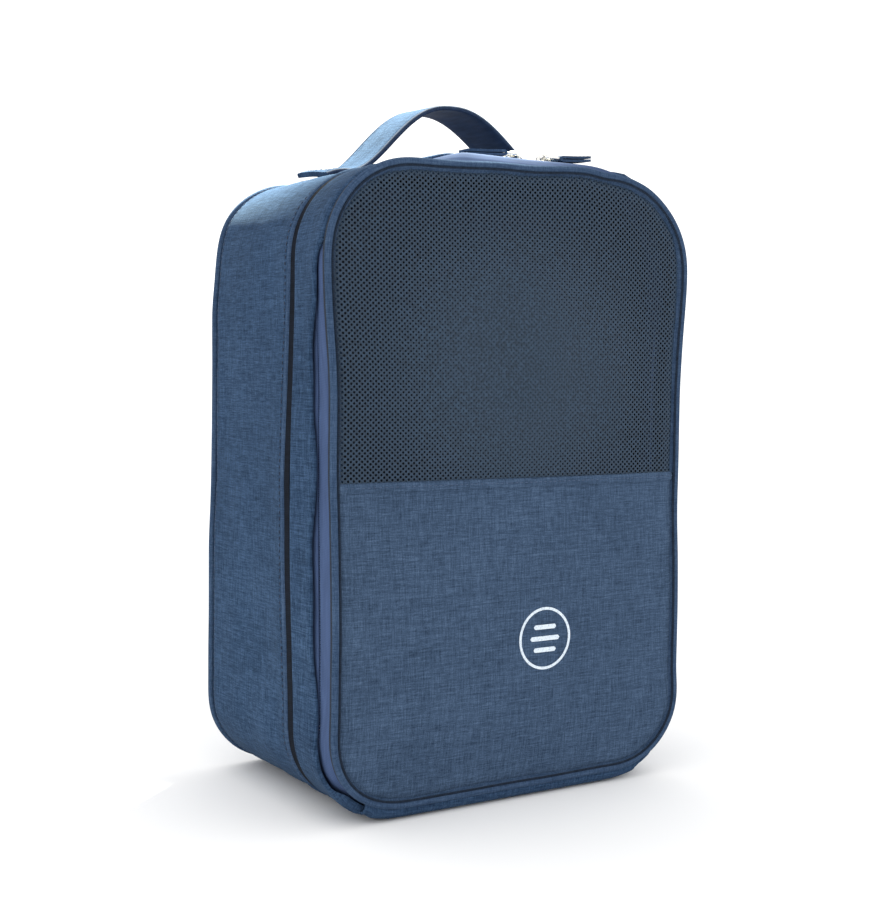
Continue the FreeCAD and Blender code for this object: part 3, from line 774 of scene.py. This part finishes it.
def net_window(across=2.8 * MM, up=2.45 * MM, hole=0.6 * MM, lift=0.24 * MM):
    """Knitted net: round holes in a slanting lattice, between yarns that are ridged front and rear. The
    holes are pulled wider toward the net's edges."""
    top = TOP - 1.3 * CORD
    count_x, count_z = int(2 * HALF / across) + 3, 2 * int((TOP - SEAM_Z) / up) + 4
    i, j = np.meshgrid(np.arange(count_x), np.arange(count_z), indexing="ij")
    x = (i - count_x / 2) * across + (j % 2) * across / 2
    z = SEAM_Z - 2 * MM + j * up / 2
    limit = half_width(LID, np.clip(z, SEAM_Z - 3 * MM, top), 1.3 * CORD)
    inside = (np.abs(x) < limit) & (z < top)
    reach = np.hypot(x / (90 * MM), (z - SEAM_Z - 55 * MM) / (80 * MM))
    holes = hole * (0.62 + 0.38 * ease(reach, 0.3, 1.05))
    points, faces, index, sides = [], [], {}, {}

    def point(key, *place):
        if key not in index:
            index[key] = len(points)
            points.append(place)
        return index[key]

    quarter = np.radians(90 * np.arange(4))
    for a, b in zip(*np.nonzero(inside)):
        knots, rim = [], []
        for k, turn in enumerate(quarter):
            kx = x[a, b] + across / 2 * math.cos(turn)
            kz = z[a, b] + up / 2 * math.sin(turn)
            key = round(kx / (0.3 * MM)), round(kz / (0.3 * MM))
            knots.append((point((key, 1), kx, kz, -lift), point((key, 2), kx, kz, lift)))
            rim.append([point((a, b, k, side), x[a, b] + holes[a, b] * math.cos(turn + side * 0.4),
                              z[a, b] + holes[a, b] * math.sin(turn + side * 0.4), 0.0) for side in (-1, 1)])
        for k in range(4):
            n = (k + 1) % 4
            faces.append([knots[k][0], knots[n][0], rim[n][0], rim[k][1]])
            faces.append([knots[n][1], knots[k][1], rim[k][1], rim[n][0]])
            faces.append([knots[k][0], rim[k][1], rim[k][0]])
            faces.append([knots[k][1], rim[k][0], rim[k][1]])
            side = tuple(sorted((knots[k][0], knots[n][0])))
            sides.setdefault(side, []).append([knots[n][0], knots[k][0], knots[k][1], knots[n][1]])
    faces += [border[0] for border in sides.values() if len(border) == 1]
    flat = np.array(points)
    depth = front_y(flat[:, 0], flat[:, 1])
    seam = edge_distance(LID, flat[:, 0], flat[:, 1]) - 2 * CORD
    sag = 0.6 * MM * ease(seam, 0, 30 * MM)
    placed = stuffed(np.stack([flat[:, 0], depth + sag + flat[:, 2] + 0.3 * MM, flat[:, 1]], -1))
    net = mesh_object("net_window_mesh", placed, faces, sharp=100)
    settle(net, "lid", NET, ["net_window"])


def emblem():
    """A plain mark: a ring round three bars, lying on the lower panel's cloth."""
    low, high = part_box("emblem")
    centre = (low + high) / 2
    radius, line = (high.x - low.x) / 2, 1.3 * MM
    rise, thick = 0.12 * MM, 0.25 * MM

    def lay(name, x, z):
        outer = stuffed(np.stack([x, front_y(x, z) - rise, z], -1))
        return shell(name, outer, outer + thick * REARWARD, np.stack([x, z], -1))

    turn = np.linspace(0, 2 * PI, 97)
    reach = np.linspace(radius - line, radius, 4)[:, None]
    parts = [lay("emblem_mark", centre.x + reach * np.cos(turn), centre.z + reach * np.sin(turn))]
    end = 1.1 * MM
    for step in (-1, 0, 1):
        half = (8.5 - 2.0 * abs(step)) * MM
        across = np.linspace(-half, half, 22)
        round_end = np.sqrt(np.clip(1 - (np.clip(np.abs(across) - half + end, 0, end) / end) ** 2, 0.02, 1))
        x = np.broadcast_to(centre.x + across, (4, 22))
        z = centre.z + 5.5 * MM * step + np.linspace(-end, end, 4)[:, None] * round_end
        parts.append(lay("bar", x, z))
    settle(join(parts), "lid", PRINT, ["emblem"])


# ---- zip
def strip_edge(station):
    """Depth of the front strip's folded edge: wavy beside the zip, up to the lid's piping at the corners,
    and clear of the sliders along the top."""
    away = np.abs(station - 4.5)
    piping, clear, line = TAPE_FRONT_Y + 1.4 * MM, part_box("front_gusset")[0].y, ZIP_LINE_Y
    waves = [(0.62, clear), (0.80, piping), (1.38, piping), (1.56, line - 4.6 * MM),
             (1.70, line + 1.8 * MM), (1.80, line + 1.8 * MM), (1.95, line - 1.4 * MM),
             (2.10, line + 2.2 * MM), (2.32, line + 2.2 * MM), (2.46, line - 1.2 * MM),
             (2.66, line - 3.2 * MM), (3.05, piping)]
    ripple = 0.3 * MM * drift(BAG.length_at(station), 0 * station, 17 * MM, 72, BAG.length)
    return curve(away, *waves) + ripple


def crown(station, y):
    """How far the walls beside the zip are raised: fully up to the top's left end, and not past it."""
    low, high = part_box("front_gusset")
    rear = 1 - np.clip((y - low.y) / (high.y - low.y), 0, 1)
    return rear * ease(y, TAPE_FRONT_Y, TAPE_FRONT_Y + 5 * MM) * curve(station, (4.77, 1), (5.04, 0))


def front_strip():
    """The narrow wall in front of the middle seam. Its front edge is folded and stands over the zip, and
    its rear edge rolls down into the seam."""
    first, last = stations_of_gap()
    share = np.array([0, 0.02, 0.045, 0.07, 0.1, 0.15, 0.2, 0.28, 0.38, 0.5, 0.62, 0.74, 0.84, 0.91, 0.95,
                      0.98, 1.0])
    rear = MID_Y - 2.0 * CORD
    t, along = np.meshgrid(stations(first, last, 2.2 * MM), share, indexing="xy")
    y = rear + (strip_edge(t) - rear) * along
    s = BAG.length_at(t)
    roll = 3.2 * MM * (1 - ease(rear - y, -0.4 * MM, 1.6 * MM)) ** 2
    fold = 0.4 * MM * drift(s + 2 * y, y, 26 * MM, 73, BAG.length)
    edge = 0.7 * MM * ease(along, 0.93, 1.0) ** 2
    face = 0.9 * MM + roll + fold * ease(along, 0.1, 0.5) + edge - 0.35 * MM * ease(along, 0.5, 0.85)
    thick = 1.3 * MM - 0.5 * MM * ease(along, 0.93, 1.0)
    follow = (1 - ease(y, LID_Y, LID_Y + 9 * MM)) * (1 - crown(t, ZIP_LINE_Y + 0 * y)), crown(t, y)
    outer, inner = ring(t, face, y, *follow), ring(t, face + thick, y, *follow)
    strip = shell("front_strip_cloth", outer, inner, np.stack([y, s], -1), False, 70)
    # The strip is the panels' cloth with painted shade
    settle(strip, "bag", SHADED_MELANGE, ["front_gusset"])
    low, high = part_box("strip_lining")
    layer("strip_lining_cloth", first, last, 4 * MM, np.linspace(low.y, high.y, 6), even(5.9 * MM), 0.4 * MM,
          LINING, "bag", "lining", ["strip_lining"], raised=crown)
    # A near-black sheet down in the middle seam's groove: painted shadow
    layer("mid_seam_painted_shadow", first, last, 4 * MM, np.linspace(rear - 2.5 * MM, MID_Y, 6), even(4.6 * MM),
          0.5 * MM, SEAM_SHADOW, "bag", "binding", [])


def stations_of_gap():
    """The stations where the zip and the front strip begin, on the right and on the left: just over the
    hinge strip's ends."""
    at, overlap = np.linspace(0, 2, 2001), 4 * MM
    place, _ = BAG.at(at)
    first = float(np.interp(HINGE_HALF - overlap, place[:, 0], at))
    return first, 9 - first


def coil_row(name, phase, node, body):
    """One half of the zip's nylon coil: a spring sewn along the tape, its turns hooking over the line.
    phase is where its turns start."""
    ends = [BAG.length_at(end) for end in stations_of_gap()]
    turns = round((ends[1] - ends[0]) / (1.7 * MM))
    steps = turns * 8 + 1
    turn = np.linspace(0, turns * 2 * PI, steps)
    at = BAG.station_at(np.linspace(*ends, steps))
    low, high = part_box(node)
    half, deep = (high.y - low.y) / 2 - 0.25 * MM, 0.72 * MM
    inset = 5.3 * MM - deep * np.cos(turn)
    depth = middle(node).y + half * np.sin(turn + phase)
    path = ring(at, inset, depth, 0.0, crown(at, depth))
    coil = wire(name, path, 0.3 * MM, upright(BAG.at(at)[1], 0), 5)
    settle(coil, body, COIL, [node])


def zipper():
    """Both halves of the zip: the two tapes, the lid's binding and the two rows of coil."""
    first, last = stations_of_gap()
    lid_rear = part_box("lid_zip_tape")[1].y

    def lid_face(station, y):
        tuck = 1.0 * MM * np.exp(-((y - TAPE_FRONT_Y) / (1.6 * MM)) ** 2)
        soft = 0.3 * MM * drift(BAG.length_at(station), y, 30 * MM, 81, BAG.length)
        soft = soft * ease(y, TAPE_FRONT_Y, TAPE_FRONT_Y + 4 * MM)
        soft = soft * (1 - ease(y, lid_rear - 5 * MM, lid_rear))
        swell = 0.5 * MM * np.sin(PI * ease(y, TAPE_FRONT_Y, lid_rear))
        return 3.0 * MM + tuck - swell + soft + 0.4 * MM * ease(y, lid_rear - 6 * MM, lid_rear)

    def toward_lid(y):
        return 1 - ease(y, LID_Y, lid_rear)

    rows = seam_rows(LID_Y, lid_rear, 1.3 * MM, 0.25 * MM)
    layer("lid_zip_tape_cloth", first, last, 2.6 * MM, rows, lid_face, 0.7 * MM, TAPE, "lid", "zip_tape",
          ["lid_zip_tape"], toward_lid, crown)
    low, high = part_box("body_zip_tape")
    rows = seam_rows(low.y, high.y, 1.6 * MM, 0.25 * MM)
    layer("body_zip_tape_cloth", first, last, 2.6 * MM, rows, even(3.45 * MM), 0.7 * MM, TAPE, "bag",
          "zip_tape", ["body_zip_tape"], raised=crown)
    low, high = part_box("lid_binding")
    rows = seam_rows(low.y, high.y, 1.6 * MM, 0.2 * MM)
    layer("lid_binding_tape", first, last, 4 * MM, rows, even(4.4 * MM), 1.0 * MM, BINDING, "lid", "binding",
          ["lid_binding"], toward_lid, crown)
    coil_row("lid_zip_teeth", PI / 2, "lid_zip_coil", "lid")
    coil_row("body_zip_teeth", 0, "body_zip_coil", "bag")


# ---- hinge strip
def hinge_strip():
    """The cloth the lid folds on: under the front of the bag, then up in a lip to the lid's piping. It runs
    on under the front strip at both ends, further on the left."""
    low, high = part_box("hinge_panel")
    front, bend, thick = low.y, 5.0 * MM, 1.0 * MM
    turn = np.linspace(0, PI / 2, 7)
    floor_y = np.linspace(high.y + 3 * MM, front + bend, 16)[:-1]
    lip = np.linspace(bend, LID_LOW + 0.9 * MM, 8)[1:]
    path = np.concatenate([
        np.stack([floor_y, 0 * floor_y], -1),
        np.stack([front + bend * (1 - np.sin(turn)), bend * (1 - np.cos(turn))], -1),
        np.stack([front + 0 * lip, lip], -1),
    ])
    run = lengths_along(path)[:, None]
    way = unit(np.gradient(path, axis=0))
    inward = np.stack([way[:, 1], -way[:, 0]], -1)
    end = BAG.length_at(stations_of_gap()[0])
    half, middle_s = end + 3.75 * MM, -1.25 * MM
    s = np.broadcast_to(half * np.linspace(-1, 1, 110) + middle_s, (len(run), 110))
    at = BAG.station_at(s % BAG.length)
    soft = 0.35 * MM * drift(s + 1.0, run + 0 * s, 20 * MM, 91) * ease(run, run[18], run[-1])
    inset = 0.15 * MM + 1.5 * MM * ease(np.abs(s), end - 1 * MM, end + 1.5 * MM)

    def place(offset):
        y = (path[:, 0] + inward[:, 0] * offset)[:, None] - np.abs(soft)
        z = (path[:, 1] + inward[:, 1] * offset)[:, None]
        bag, lid = BAG.at(at, inset)[0], LID.at(at, inset)[0]
        return stuffed(upright(bag + (lid - bag) * (z / LID_LOW)[..., None], y))

    strip = shell("hinge_strip_cloth", place(0.0), place(thick), np.stack([s, run + 0 * s], -1), False, 70)
    # The hinge strip is the panels' cloth with painted shade
    settle(strip, None, SHADED_MELANGE, ["hinge_panel"])
    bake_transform(strip)


# ---- handle
def strap_height(x):
    """Height of the strap's middle line above the floor at x."""
    apex, foot = 5 * MM, TOP + 0.7 * MM
    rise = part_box("handle_sleeve")[1].z - 1.5 * MM - foot
    span = np.where(x < apex, 60 * MM, 68 * MM)
    shoulder = np.where(x < apex, 1.25, 1.1)
    away = np.abs(x - apex)
    arch = rise * (1 + np.cos(PI * np.clip(away / span, 0, 1) ** shoulder)) / 2
    past = np.clip((away - span) / (12 * MM), 0, 1)
    droop = np.where(x < apex, 2.8, 8.4) * MM
    return foot + arch - droop * past ** 2


def strap_tilt(x):
    """How much higher the strap's rear edge is than its front one."""
    rising = 1.2 * MM * ease(x, -58 * MM, -30 * MM) * (1 - ease(x, 0, 30 * MM))
    return rising + 2.6 * MM * ease(-x, 48 * MM, 66 * MM)


def handle():
    """Hand strap: a sleeve of bag cloth over webbing, edge-stitched, its ends boxed and sewn to the top."""
    low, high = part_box("handle_sleeve")
    half, thick, centre_y = (high.y - low.y) / 2, 1.2 * MM, (low.y + high.y) / 2
    x = np.linspace(low.x + 1.0 * MM, high.x - 0.6 * MM, 170)
    tilt = strap_tilt(x)
    path = np.stack([x, 0 * x + centre_y, strap_height(x) + tilt / 2], -1)
    side = unit(np.stack([0 * x, 2 * half + 0 * x, tilt], -1))
    out = np.cross(unit(np.gradient(path, axis=0)), side)

    edge, groove_at, groove_depth = 1.0 * MM, half - 2.3 * MM, thick * 0.62
    turns = np.radians(np.linspace(90, -90, 7))
    rim = [(thick * math.sin(t), half - edge + edge * math.cos(t)) for t in turns]
    groove = [(thick, half - 1.7 * MM), (groove_depth, groove_at), (thick, half - 2.9 * MM)]
    across = [k * half for k in (0.72, 0.5, 0.25, 0, -0.25, -0.5, -0.72)]
    top = groove + [(thick * 1.12, v) for v in across] + [(u, -v) for u, v in reversed(groove)]
    under = [(-thick, -v) for v in across]
    profile = np.array(top + [(u, -v) for u, v in rim] + under + [(u, v) for u, v in reversed(rim)])
    order = np.arange(len(profile))
    is_top = (order >= len(groove)) & (order < len(groove) + len(across))
    is_under = (profile[:, 0] < -0.9 * thick) & (np.abs(profile[:, 1]) < 0.8 * half)
    soft = 0.45 * MM * drift(x[:, None] + 0.4, profile[None, :, 1], 15 * MM, 95)
    lift = profile[None, :, 0] + soft * (is_top | is_under)
    grid = path[:, None] + out[:, None] * lift[..., None] + side[:, None] * profile[None, :, 1:]
    flat = np.stack([lengths_along(path)[:, None] + 0 * lift, profile[None, :, 1] + 0 * lift], -1)
    sleeve = skin("handle_strap_cloth", grid, np.concatenate([flat, flat[:, :1]], 1))
    # The sleeve is the panels' cloth with painted shade
    settle(sleeve, "bag", SHADED_MELANGE, ["handle_sleeve", "handle_core"])
    # The underside and both edges of the strap take this painted shade
    sleeve.data.materials.append(STRAP_SHADE)
    for index, face in enumerate(sleeve.data.polygons):
        if index % len(profile) >= len(top) - 1:
            face.material_index = 1

    proud = 0.12 * MM
    for name, sign in (("handle_front_stitches", -1), ("handle_rear_stitches", 1)):
        line = path + out * (groove_depth + proud) + side * sign * groove_at
        stitches(name, line, out, "bag", THREAD, 3.2 * MM)
    for name, near, far in (("left", -52 * MM, -64.5 * MM), ("right", 68 * MM, 80 * MM)):
        corners = [(near, -1), (near, 1), (far, 1), (far, -1), (near, -1), (far, 1), (far, -1), (near, 1)]
        points = np.array([np.array(a) + (np.array(b) - np.array(a)) * k
                           for a, b in zip(corners, corners[1:]) for k in np.linspace(0, 1, 12)[:-1]])
        offset = points[:, 1] * (half - 4.5 * MM)
        height = strap_height(points[:, 0]) + strap_tilt(points[:, 0]) * (0.5 + offset / (2 * half))
        line = np.stack([points[:, 0], centre_y + offset, height + thick * 1.12 + proud], -1)
        stitches("handle_box_stitches_" + name, line, (0, 0, 1), "bag", THREAD)


# ---- sliders and pulls
def bevelled(name, outline, z0, z1, width, segments=3):
    """A plate with rounded edges: outline is its plan, as (x, y)."""
    count = len(outline)
    points = [(x, y, z) for z in (z0, z1) for x, y in outline]
    faces = [list(range(count)), list(range(count, 2 * count))]
    faces += [[k, (k + 1) % count, count + (k + 1) % count, count + k] for k in range(count)]
    obj = mesh_object(name, points, faces, sharp=40)
    made = obj.modifiers.new("rounding", "BEVEL")
    made.width, made.segments, made.limit_method = width, segments, "ANGLE"
    made.angle_limit = math.radians(50)
    bpy.context.view_layer.objects.active = obj
    obj.select_set(True)
    bpy.ops.object.modifier_apply(modifier=made.name)
    bpy.ops.object.select_all(action="DESELECT")
    return obj


def slider(side):
    """A zip slider: shaped top plate, post, lower plate and a bridge for the ring."""
    node = "slider_" + side
    low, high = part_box(node)
    way = -1 if side == "left" else 1
    x0, y0 = (low.x + high.x) / 2, ZIP_Y
    half = (high.x - low.x) / 2
    shape = [(-half, 2.0), (-half * 0.55, 3.3), (0.0, 3.75), (half * 0.6, 3.6), (half, 2.6)]
    plan = [(x0 + way * a, y0 + b * MM) for a, b in shape]
    plan += [(x0 + way * a, y0 - b * MM) for a, b in reversed(shape)]
    top_z, low_z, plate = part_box("lid_zip_tape")[1].z + 0.35 * MM, low.z, 1.15 * MM
    parts = [bevelled(node + "_metal", plan, top_z, top_z + plate, 0.4 * MM),
             bevelled("base", plan, low_z, low_z + 1.1 * MM, 0.35 * MM)]
    nose = x0 - way * (half - 1.5 * MM)
    post = [(nose + a * 1.1 * MM, y0 + b * 0.35 * MM) for a, b in ((-1, -1), (1, -1), (1, 1), (-1, 1))]
    parts.append(bevelled("post", post, low_z + 0.5 * MM, top_z + 0.5 * MM, 0.1 * MM, 1))
    reach, rise = 3.6 * MM, high.z - top_z - plate
    a = np.linspace(0, PI, 15)
    arch = np.stack([x0 - reach * np.cos(a), 0 * a + y0,
                     top_z + 0.7 * MM + (rise + 0.1 * MM) * np.sin(a) ** 0.7], -1)
    bar = [(0.35, -0.9), (0.55, -0.6), (0.55, 0.6), (0.35, 0.9), (-0.35, 0.9), (-0.45, 0.6), (-0.45, -0.6),
           (-0.35, -0.9)]
    out, across = frames(arch, np.stack([-np.cos(a), 0 * a, np.sin(a) + 0.05], -1))
    parts.append(sweep("bridge", arch, out, across, np.array(bar) * MM, False, 50))
    settle(join(parts), "zip_slider_" + side, METAL, [node])


def pull(side):
    """The wire ring in the slider's bridge and the cloth tab folded and sewn round its outer bar."""
    ring_node, tab_node, body = "pull_ring_" + side, "pull_tab_" + side, "zip_pull_" + side
    low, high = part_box(ring_node)
    way = -1 if side == "left" else 1
    radius = (high.z - low.z) / 2
    y, z = (low.y + high.y) / 2, (low.z + high.z) / 2
    near, bar = (high.x - radius, low.x + radius) if way < 0 else (low.x + radius, high.x - radius)
    half = (high.y - low.y) / 2 - radius
    corners = [(near, y - half, z), (near, y + half, z), (bar, y + half, z), (bar, y - half, z)]
    ring_wire = wire(ring_node + "_wire", bend_points(corners, 1.5 * MM), radius, (0, 0, 1), 12, True)
    settle(ring_wire, body, METAL, [ring_node])

    low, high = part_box(tab_node)
    start, length, wide = high.x if way < 0 else low.x, high.x - low.x, (high.y - low.y) / 2
    thick, apart = 1.15 * MM, 0.85 * MM
    droop, swing = (0.07, 0.0) if way < 0 else (-0.08, math.radians(10))
    t = np.linspace(0, 1, 34)
    curl = 0.6 * MM * (t - 0.2) ** 2 - droop * length * t
    lower, upper = z - apart + curl, z + apart + curl - 0.15 * MM * t
    run = bar + way * (0.2 * MM + t * (length - 1.9 * MM))
    bend = np.radians(np.linspace(-90, 90, 9))[1:-1]

    def swung(points):
        """Turns the tab toward the rear about its bar."""
        out_x, out_y = points[..., 0] - bar, points[..., 1] - y
        turned = [bar + out_x * math.cos(swing) - out_y * math.sin(swing),
                  y + out_x * math.sin(swing) + out_y * math.cos(swing), points[..., 2]]
        return np.stack(turned, -1)

    x = np.concatenate([run[::-1], bar - way * np.cos(bend) * 1.15 * MM, run])
    path = np.stack([x, 0 * x + y, np.concatenate([lower[::-1], z + apart * np.sin(bend), upper])], -1)
    out = np.cross(REARWARD, unit(np.gradient(path, axis=0))) * way
    rows = np.linspace(-1, 1, 9)
    taper = 1 - 0.12 * ease(np.abs(x - start), length - 2.5 * MM, length)
    cloth = path[:, None] + REARWARD * (rows[None, :, None] * wide * taper[:, None, None])
    offset = out[:, None] * thick * 0.5
    flat = np.stack(np.meshgrid(lengths_along(path), rows * wide, indexing="ij"), -1)
    tab = shell(tab_node + "_cloth", swung(cloth + offset), swung(cloth - offset), flat, False, 60)
    settle(tab, body, PIPING, [tab_node])
    for row, name in ((-0.72, "front"), (0.72, "rear")):
        line = np.stack([run, 0 * run + y + row * wide, upper + thick * 0.5 + 0.08 * MM], -1)[4:]
        stitches("pull_%s_%s_stitches" % (side, name), swung(line), (0, 0, 1), body, THREAD, 2.6 * MM,
                 1.9 * MM, 0.3 * MM)


# ---- inside
def divider():
    """The inner flap with its bound edge and finger loop."""
    low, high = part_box("divider_binding")
    outline = Outline(0.0)
    outline.x = outline.x * high.x / HALF
    outline.z = low.z + outline.z * (high.z - low.z) / TOP
    inset, step = 1.2 * MM, 4 * MM
    z = rows_between(low.z + inset, high.z - inset, step)
    x = half_width(outline, z, inset)[:, None] * np.linspace(-1, 1, round(2 * HALF / step))
    z = np.broadcast_to(z[:, None], x.shape)
    soft = 0.4 * MM * drift(x, z, 30 * MM, 101)
    for node, name, material, slot, share in (
            ("divider_front", "divider_front_cloth", LINING, "lining", 1),
            ("divider_foam", "divider_foam_sheet", FOAM, "foam", 0.8),
            ("divider_rear", "divider_rear_cloth", LINING, "lining", 1)):
        front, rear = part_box(node)
        slab(name, x, z, front.y + soft * share, rear.y - front.y, material, "divider", [node],
             fit=lambda flat: flat)

    wrap = 4.4 * MM
    place, out = outline.at(stations(0, 9, 3 * MM)[:-1], wrap)
    path, out = upright(place, (low.y + high.y) / 2), upright(out, 0)
    half = (high.y - low.y) / 2
    turns = np.radians(np.linspace(-90, 90, 9))
    tip = [(wrap - half + half * math.cos(t), half * math.sin(t)) for t in turns]
    end, inner = 0.2 * MM - wrap, half - 0.5 * MM
    profile = tip + [(end, half), (-wrap, inner), (-wrap, -inner), (end, -half)]
    tape = sweep("divider_binding_tape", path, out, np.broadcast_to(REARWARD, path.shape), profile, True)
    settle(tape, "divider", BINDING, ["divider_binding"])

    low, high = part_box("divider_loop")
    rise = np.linspace(0, PI, 17)
    z = (low.z + high.z) / 2 - (high.z - low.z) / 2 * 0.92 * np.cos(rise)
    path = np.stack([0 * z, high.y - (high.y - low.y) * 0.85 * np.sin(rise) ** 0.5, z], -1)
    out, across = frames(path, np.stack([0 * z, -np.sin(rise) - 0.05, -np.cos(rise)], -1))
    band = [(0.35, -9), (0.5, -8.4), (0.5, 8.4), (0.35, 9)]
    band += [(-thick, -wide) for thick, wide in band]
    loop = sweep("divider_loop_webbing", path, out, across, np.array(band) * MM, False, 50)
    settle(loop, "divider", BINDING, ["divider_loop"])


def end_stops():
    """The crimped metal stops at the zip's lower ends keep their CAD shape."""
    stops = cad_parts["zip_end_stops"]
    stops.data.materials.clear()
    stops.data.materials.append(METAL)


# ---- floor, light and camera
FLOOR_SHADE = 0.91
SKY_STRENGTH = 1.42
LAMP_WATTS, LAMP_SIZE, LAMP_SPREAD = 0.74, (0.18, 0.09), math.radians(3)
LAMP_COLOUR = (1.0, 0.99, 0.82)
LAMP_PLACE, LAMP_AIM = Vector((0.5, 0.42, 1.5)), Vector((-0.03, 0.03, 0.3))
CAMERA_PLACE, CAMERA_LENS = Vector((-0.3947, -0.6187, 0.2074)), 56.57
CAMERA_TURNS = [math.radians(angle) for angle in (32.55, 3.75, 0.675)]


def stage():
    """A pale floor, even white surroundings, one narrow lamp from above on the right and the camera."""
    scene = bpy.context.scene
    scene.view_settings.view_transform = "Standard"
    bpy.ops.mesh.primitive_plane_add(size=30, location=(0, 0, -0.1 * MM))
    floor = bpy.context.object
    floor.name = "floor"
    floor.data.materials.append(Recipe("floor_paint", (FLOOR_SHADE,) * 3, 0.7, specular=0.0).material)

    scene.world = bpy.data.worlds.new("studio")
    scene.world.use_nodes = True
    sky = scene.world.node_tree.nodes["Background"].inputs
    sky[0].default_value = (1.0, 1.0, 1.0, 1)
    sky[1].default_value = SKY_STRENGTH

    data = bpy.data.lights.new("overhead", "AREA")
    data.shape, data.size, data.size_y = "RECTANGLE", *LAMP_SIZE
    data.energy, data.spread, data.color = LAMP_WATTS, LAMP_SPREAD, LAMP_COLOUR
    lamp = bpy.data.objects.new("overhead", data)
    scene.collection.objects.link(lamp)
    lamp.location = LAMP_PLACE
    lamp.rotation_euler = (LAMP_AIM - LAMP_PLACE).to_track_quat("-Z", "Y").to_euler()

    yaw, pitch, roll = CAMERA_TURNS
    ahead = Vector((math.sin(yaw) * math.cos(pitch), math.cos(yaw) * math.cos(pitch), -math.sin(pitch)))
    across = Vector((math.cos(yaw), -math.sin(yaw), 0))
    up = across.cross(ahead)
    right = across * math.cos(roll) + up * math.sin(roll)
    above = up * math.cos(roll) - across * math.sin(roll)
    data = bpy.data.cameras.new("camera")
    data.sensor_width, data.lens = 36.0, CAMERA_LENS
    camera = bpy.data.objects.new("camera", data)
    scene.collection.objects.link(camera)
    turn = Matrix((right, above, -ahead)).transposed().to_4x4()
    camera.matrix_world = Matrix.Translation(CAMERA_PLACE) @ turn
    scene.camera = camera


rear_section()
back_panels()
front_strip()
zipper()
end_stops()
piping("lid_piping_cord", LID, LID_Y, "lid", "lid_piping", LID_SHADE_BANDS)
lid_panels()
hem()
net_window()
emblem()
hinge_strip()
handle()
for which in ("left", "right"):
    slider(which)
    pull(which)
divider()
stage()
